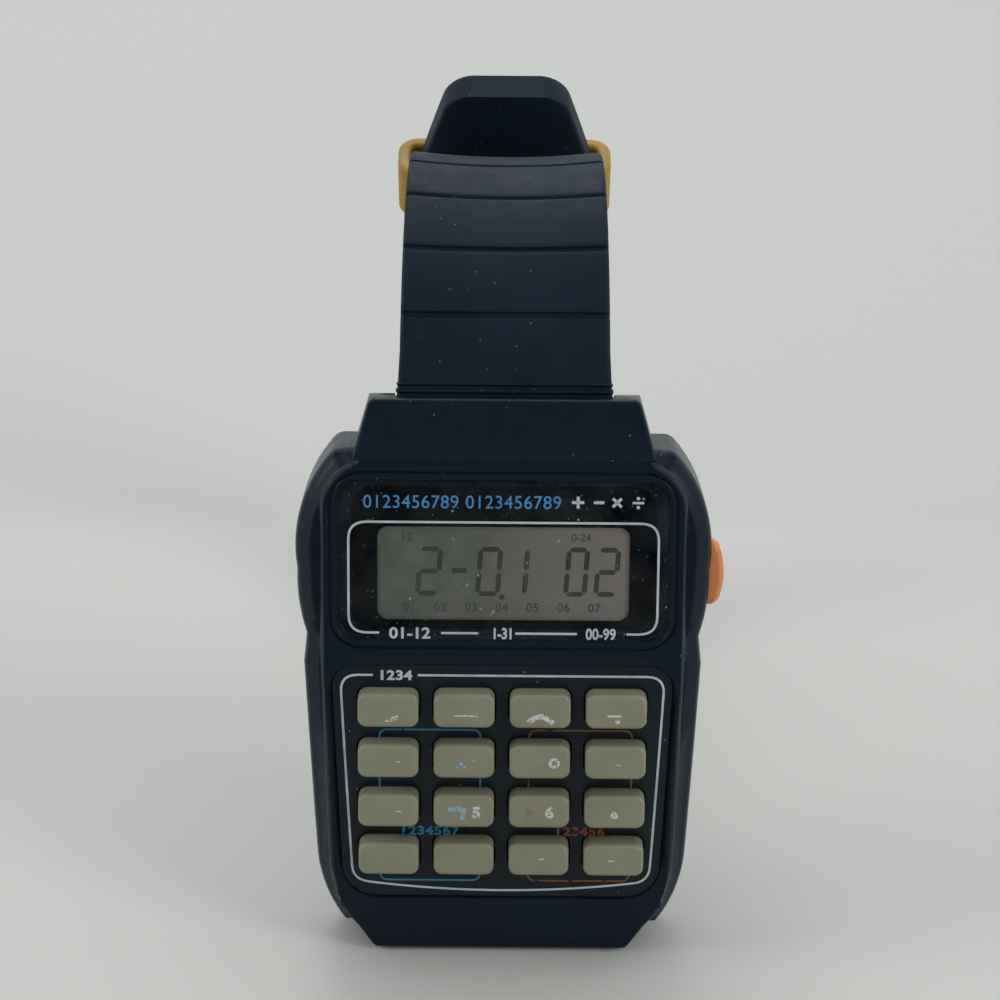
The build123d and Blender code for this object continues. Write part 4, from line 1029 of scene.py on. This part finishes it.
class WATCH_OT_strap(bpy.types.Operator):
    """Make both halves of the resin strap: curled section, cross grooves, ridged root, holes, tapered tip"""
    bl_idname = "watch.strap"
    bl_label = "Strap"

    def execute(self, context):
        strap = context.scene.watch_strap
        self.buckle_half(strap)
        self.tail_half(strap)
        return {"FINISHED"}

    def width(self, strap, distance):
        """Width at a distance from the bar, as a share of the root's."""
        if distance < NECK_LENGTH:
            share = strap.root_width + (strap.neck_width - strap.root_width) * max(0, distance) / NECK_LENGTH
        else:
            drawn = min(1, (distance - NECK_LENGTH) / (BODY_START - NECK_LENGTH))
            share = strap.neck_width + (strap.body_width - strap.neck_width) * drawn
        return share / strap.root_width

    def placer(self, strap, course, outer, grooves, ridges=(), curl=None, tip=None, sunk=0.5):
        """Function that puts a section's point in its place, with curl, grooves and ridges on the outer face.

        sunk is the share of the curl by which the middle lies lower; at 1 the edges don't rise at all.
        """
        half = strap.thickness / 2

        def place(x, y, distance):
            point, heading = course.at(distance)
            share = self.width(strap, distance) * (tip(distance) if tip else 1)
            lift = wide = 0.0
            if y * outer > half - strap.corner - NEAR:
                for groove in grooves:
                    lift -= strap.groove_depth * (1 - smooth_step((abs(distance - groove) - 0.1) / 0.2))
            if any(low <= distance <= high for low, high in ridges):
                if y * outer > half - strap.corner - NEAR:
                    lift += RIDGE_HEIGHT
                if abs(x) > strap.root_width / 2 - strap.corner - NEAR:
                    wide = RIDGE_SIDE if x > 0 else -RIDGE_SIDE
            bow = curl(distance) * ((2 * x / strap.root_width) ** 2 - sunk) if curl else 0.0
            off = y + outer * (lift + bow)
            side = Vector((-sin(heading), cos(heading)))
            return Vector((x * share + wide, point.x + side.x * off, point.y + side.y * off))
        return place

    def buckle_half(self, strap):
        """The half that goes over the top: grooved, ridged at its root, split at its end for the prong."""
        turn = radians(OVER_HEADING)
        outwards = 0.7
        start = (BAR_12.y - outwards * sin(turn), BAR_12.z + outwards * cos(turn))
        over = (OVER_RADIUS - strap.thickness / 2) * radians(OVER_TURN)
        course = Course(start, OVER_HEADING, ((4.8, 0), (over, -OVER_TURN), (12.0, 0)))
        grooves = [GROOVE_FIRST + strap.groove_pitch * k for k in range(8)]
        curl = curl_along(strap.curl, 5, 12, course.length - 6, 10)
        bm = bmesh.new()
        sweep(bm, strap, strap_stations(course.length, 0.55, grooves, RIDGES),
              self.placer(strap, course, 1, grooves, RIDGES, curl, sunk=1))
        pin = course.at(course.length)[0]
        rod(bm, (BAR_12.y, BAR_12.z), KNUCKLE, -strap.root_width / 2, strap.root_width / 2, KNUCKLE_RIM)
        cutters = bmesh.new()
        slot = 2.2
        bmesh.ops.create_cube(cutters, size=1, matrix=Matrix.Translation((0, pin.x, pin.y)) @ Matrix.Diagonal(
            (slot, 8, 3.7, 1)))
        made = carve(bm, cutters)
        for side in (-1, 1):
            ends = sorted((side * slot / 2, side * strap.body_width / 2))
            rod(made, pin, PIN_KNUCKLE, ends[0], ends[1], KNUCKLE_RIM)
        bores = bmesh.new()
        rod(bores, pin, PIN_BORE, -BORE_REACH, BORE_REACH, 0, 24)
        rod(bores, (BAR_12.y, BAR_12.z), BAR_BORE, -BORE_REACH, BORE_REACH, 0, 24)
        made = carve(made, bores)
        scaled(made)
        finish_piece("strap_over", made, "buckle_half", "strap", ["strap_buckle_half"],
                     smooth=40)

    def tail_half(self, strap):
        """The half with the holes: flat under the watch, up behind it, and tapered to its tip."""
        rise = (RISE_RADIUS - strap.thickness / 2) * radians(RISE_TURN)
        back = (BACK_RADIUS - strap.thickness / 2) * radians(BACK_TURN)
        runs = ((TAIL_FLAT, 0), (rise, RISE_TURN), (back, BACK_TURN))
        course = Course((BAR_6.y, strap.thickness / 2), 0, runs)
        grooves = [GROOVE_FIRST + strap.groove_pitch * k for k in range(3)]

        def tip(distance):
            """Share of the width that the taper and the round corners leave."""
            left = max(0.0, course.length - distance)
            share = 1 - (1 - TIP_WIDTH / strap.body_width) * max(0.0, 1 - left / TIP_TAPER)
            if left < TIP_CORNER:
                round_in = TIP_CORNER - sqrt(TIP_CORNER ** 2 - (TIP_CORNER - left) ** 2)
                share -= 2 * round_in / strap.body_width
            return share

        curl = curl_along(0.3, 34, 12, course.length - 4, 20)
        bm = bmesh.new()
        sweep(bm, strap, strap_stations(course.length, 0.8, grooves, tip=TIP_CORNER),
              self.placer(strap, course, -1, grooves, (), curl, tip))
        rod(bm, (BAR_6.y, BAR_6.z), KNUCKLE, -strap.root_width / 2, strap.root_width / 2, KNUCKLE_RIM)
        cutters = bmesh.new()
        for hole in range(HOLES):
            point, heading = course.at(course.length - HOLE_FIRST - HOLE_PITCH * hole)
            mould = bmesh.new()
            bmesh.ops.create_cube(mould, size=1, matrix=Matrix.Diagonal((*HOLE_SIZE, 8, 1)))
            bevel(mould, upright(mould), HOLE_CORNER, 6)
            along, through = Vector((0, cos(heading), sin(heading))), Vector((0, -sin(heading), cos(heading)))
            mould.transform(Matrix.Translation((0, point.x, point.y)) @ axes_matrix(ACROSS, along, through))
            mesh = bpy.data.meshes.new("mould")
            mould.to_mesh(mesh)
            mould.free()
            cutters.from_mesh(mesh)
            bpy.data.meshes.remove(mesh)
        rod(cutters, (BAR_6.y, BAR_6.z), BAR_BORE, -BORE_REACH, BORE_REACH, 0, 24)
        made = carve(bm, cutters)
        scaled(made)
        finish_piece("strap_tail", made, "tail_half", "strap", ["strap_tail_half"], smooth=40)


class WATCH_OT_keeper(bpy.types.Operator):
    """Make the mustard keeper that holds the strap's tail"""
    bl_idname = "watch.keeper"
    bl_label = "Keeper"

    def execute(self, context):
        strap = context.scene.watch_strap
        middle = BACK_RADIUS - strap.thickness / 2
        turn = radians(RISE_TURN)
        centre = Vector((0, BAR_6.y + TAIL_FLAT, RISE_RADIUS))
        centre += Vector((0, sin(turn), -cos(turn))) * (RISE_RADIUS - BACK_RADIUS)
        angle = radians(12.7)
        away = Vector((0, cos(angle), sin(angle)))
        along = Vector((0, -sin(angle), cos(angle)))
        width, depth, wall, length, aside = 19.8, 5.5, 1.22, 5.4, -0.15
        bm = bmesh.new()
        bmesh.ops.create_grid(bm, x_segments=1, y_segments=1, size=0.5)
        bmesh.ops.scale(bm, verts=bm.verts, vec=(width, depth, 1))
        bevel(bm, bm.verts[:], 1.9, 10, "VERTICES")
        bmesh.ops.inset_region(bm, faces=bm.faces[:], thickness=wall, use_boundary=True)
        bmesh.ops.delete(bm, geom=[max(bm.faces, key=lambda f: f.calc_area())], context="FACES")
        grown = bmesh.ops.extrude_face_region(bm, geom=bm.faces[:])["geom"]
        bmesh.ops.translate(bm, verts=of_kind(grown, bmesh.types.BMVert), vec=(0, 0, length))
        bmesh.ops.translate(bm, verts=bm.verts, vec=(0, 0, -length / 2))
        rims = [e for e in bm.edges
                if abs(e.verts[0].co.z - e.verts[1].co.z) < NEAR and e.calc_face_angle(0) > 1]
        bevel(bm, rims, 0.38, 4)
        place = centre + away * middle + ACROSS * aside
        bm.transform(Matrix.Translation(place) @ axes_matrix(ACROSS, -away, along))
        bmesh.ops.recalc_face_normals(bm, faces=bm.faces)
        scaled(bm)
        finish_piece("strap_keeper", bm, "keeper", "keeper", ["keeper"], smooth=50)
        return {"FINISHED"}


class WATCH_OT_buckle(bpy.types.Operator):
    """Make the buckle's frame and prong with softened edges"""
    bl_idname = "watch.buckle"
    bl_label = "Buckle"

    def execute(self, context):
        finish_piece("buckle_loop", cad_copy("buckle_frame"), "buckle_frame", "buckle", ["buckle_frame"],
                     0.2, 3)
        finish_piece("prong", cad_copy("buckle_prong"), "buckle_prong", "steel", ["buckle_prong"],
                     0.15, 3)
        return {"FINISHED"}


class WATCH_OT_stage(bpy.types.Operator):
    """Make the pale table, the soft lights and the camera"""
    bl_idname = "watch.stage"
    bl_label = "Stage"

    def execute(self, context):
        stage = context.scene.watch_stage
        self.floor(stage)
        self.lights(context)
        self.camera(context, stage)
        context.scene.view_settings.view_transform = "Standard"
        return {"FINISHED"}

    def floor(self, stage):
        """One wide table whose far part is a little darker, a painted shade that stands for a backdrop wall in
        less light, with a soft edge between.
        """
        bm = bmesh.new()
        bmesh.ops.create_grid(bm, x_segments=1, y_segments=1, size=3.0)
        mesh = bpy.data.meshes.new("table_top")
        bm.to_mesh(mesh)
        bm.free()
        table = add_object("table_top", mesh)
        material, tree, shader, place = start_material("painted_board_matt")
        split = node(tree, "SeparateXYZ", {0: place})
        # From 47 to 56 mm behind the middle the colour blends into the darker far colour, a painted shade of
        # the backdrop wall
        share = remap(tree, split.outputs[1], 0.047, 0.056, interpolation_type="SMOOTHSTEP")
        mixed = node(tree, "Mix", {"Factor": share}, data_type="RGBA")
        mixed.inputs[6].default_value = (*stage.floor_near, 1)
        mixed.inputs[7].default_value = (*stage.floor_far_painted_shade, 1)
        tree.links.new(mixed.outputs[2], shader.inputs["Base Color"])
        shader.inputs["Roughness"].default_value = 0.6
        mesh.materials.append(material)

    def lights(self, context):
        """A pale room, darker round the camera, with soft lamps behind the watch and at both sides."""
        world = bpy.data.worlds.new("pale_room")
        context.scene.world = world
        world.use_nodes = True
        tree = world.node_tree
        background = tree.nodes["Background"]
        background.inputs[0].default_value = srgb("#f4f7fa")
        view = node(tree, "TexCoord").outputs["Generated"]
        toward = node(tree, "VectorMath", {0: view, 1: (0, -cos(CAMERA_HEIGHT), sin(CAMERA_HEIGHT))},
                      operation="DOT_PRODUCT")
        strength = remap(tree, toward.outputs["Value"], 0.25, 0.75, 1.0, 0.34,
                         interpolation_type="SMOOTHSTEP")
        tree.links.new(strength, background.inputs[1])
        for name, place, size, power in (("behind", (-0.05, 0.42, 0.5), 0.25, 0.8),
                                         ("right", (0.6, -0.3, 0.4), 0.25, 1.5),
                                         ("left", (-0.55, -0.05, 0.3), 0.18, 0.7)):
            lamp = bpy.data.lights.new(name, "AREA")
            lamp.size = size
            lamp.energy = power
            holder = add_object(name, lamp)
            holder.location = place
            aim = Vector((0, 0, 0.03)) - Vector(place)
            holder.rotation_euler = aim.to_track_quat("-Z", "Y").to_euler()

    def camera(self, context, stage):
        """A long lens from the front, looking down by 32 degrees."""
        height, roll = CAMERA_HEIGHT, radians(0.45)
        target = (FACE - ACROSS * 0.32 + UP * 14.6) * MM
        back = Vector((0, -cos(height), sin(height)))
        right = ACROSS * cos(roll) + Vector((0, sin(height), cos(height))) * sin(roll)
        lens = bpy.data.cameras.new("camera")
        lens.lens = 105.5
        lens.sensor_width = 36
        lens.clip_start = 0.01
        holder = add_object("camera", lens)
        holder.matrix_world = Matrix.Translation(target + back * stage.distance) @ axes_matrix(
            right, back.cross(right), back)
        context.scene.camera = holder


class WATCH_PT_panel(bpy.types.Panel):
    """Lists the watch's pieces in the order in which they are made"""
    bl_idname = "WATCH_PT_panel"
    bl_label = "Calculator watch"
    bl_space_type = "VIEW_3D"
    bl_region_type = "UI"
    bl_category = "Watch"

    def draw(self, context):
        for group in ("watch_case", "watch_keys", "watch_strap", "watch_stage"):
            settings = getattr(context.scene, group)
            box = self.layout.box()
            for name in settings.bl_rna.properties.keys():
                if name not in ("rna_type", "name"):
                    box.prop(settings, name)
        for operator in OPERATORS:
            self.layout.operator(operator.bl_idname)


OPERATORS = (WATCH_OT_case, WATCH_OT_display, WATCH_OT_keypad, WATCH_OT_button, WATCH_OT_strap, WATCH_OT_keeper,
             WATCH_OT_buckle, WATCH_OT_stage)
GROUPS = {"watch_case": CaseSettings, "watch_keys": KeySettings, "watch_strap": StrapSettings,
          "watch_stage": StageSettings}


def register():
    """Add the settings, the operators and the panel to Blender."""
    for group in GROUPS.values():
        bpy.utils.register_class(group)
    for operator in OPERATORS:
        bpy.utils.register_class(operator)
    bpy.utils.register_class(WATCH_PT_panel)
    for name, group in GROUPS.items():
        setattr(bpy.types.Scene, name, PointerProperty(type=group))


def unregister():
    """Take them away again."""
    for name in GROUPS:
        delattr(bpy.types.Scene, name)
    for made in (WATCH_PT_panel, *OPERATORS, *GROUPS.values()):
        bpy.utils.unregister_class(made)


def main():
    """Build the dressed watch and its stage."""
    register()
    MATERIALS.update(make_materials())
    for operator in OPERATORS:
        group, name = operator.bl_idname.split(".")
        getattr(getattr(bpy.ops, group), name)()


if __name__ == "__main__":
    main()
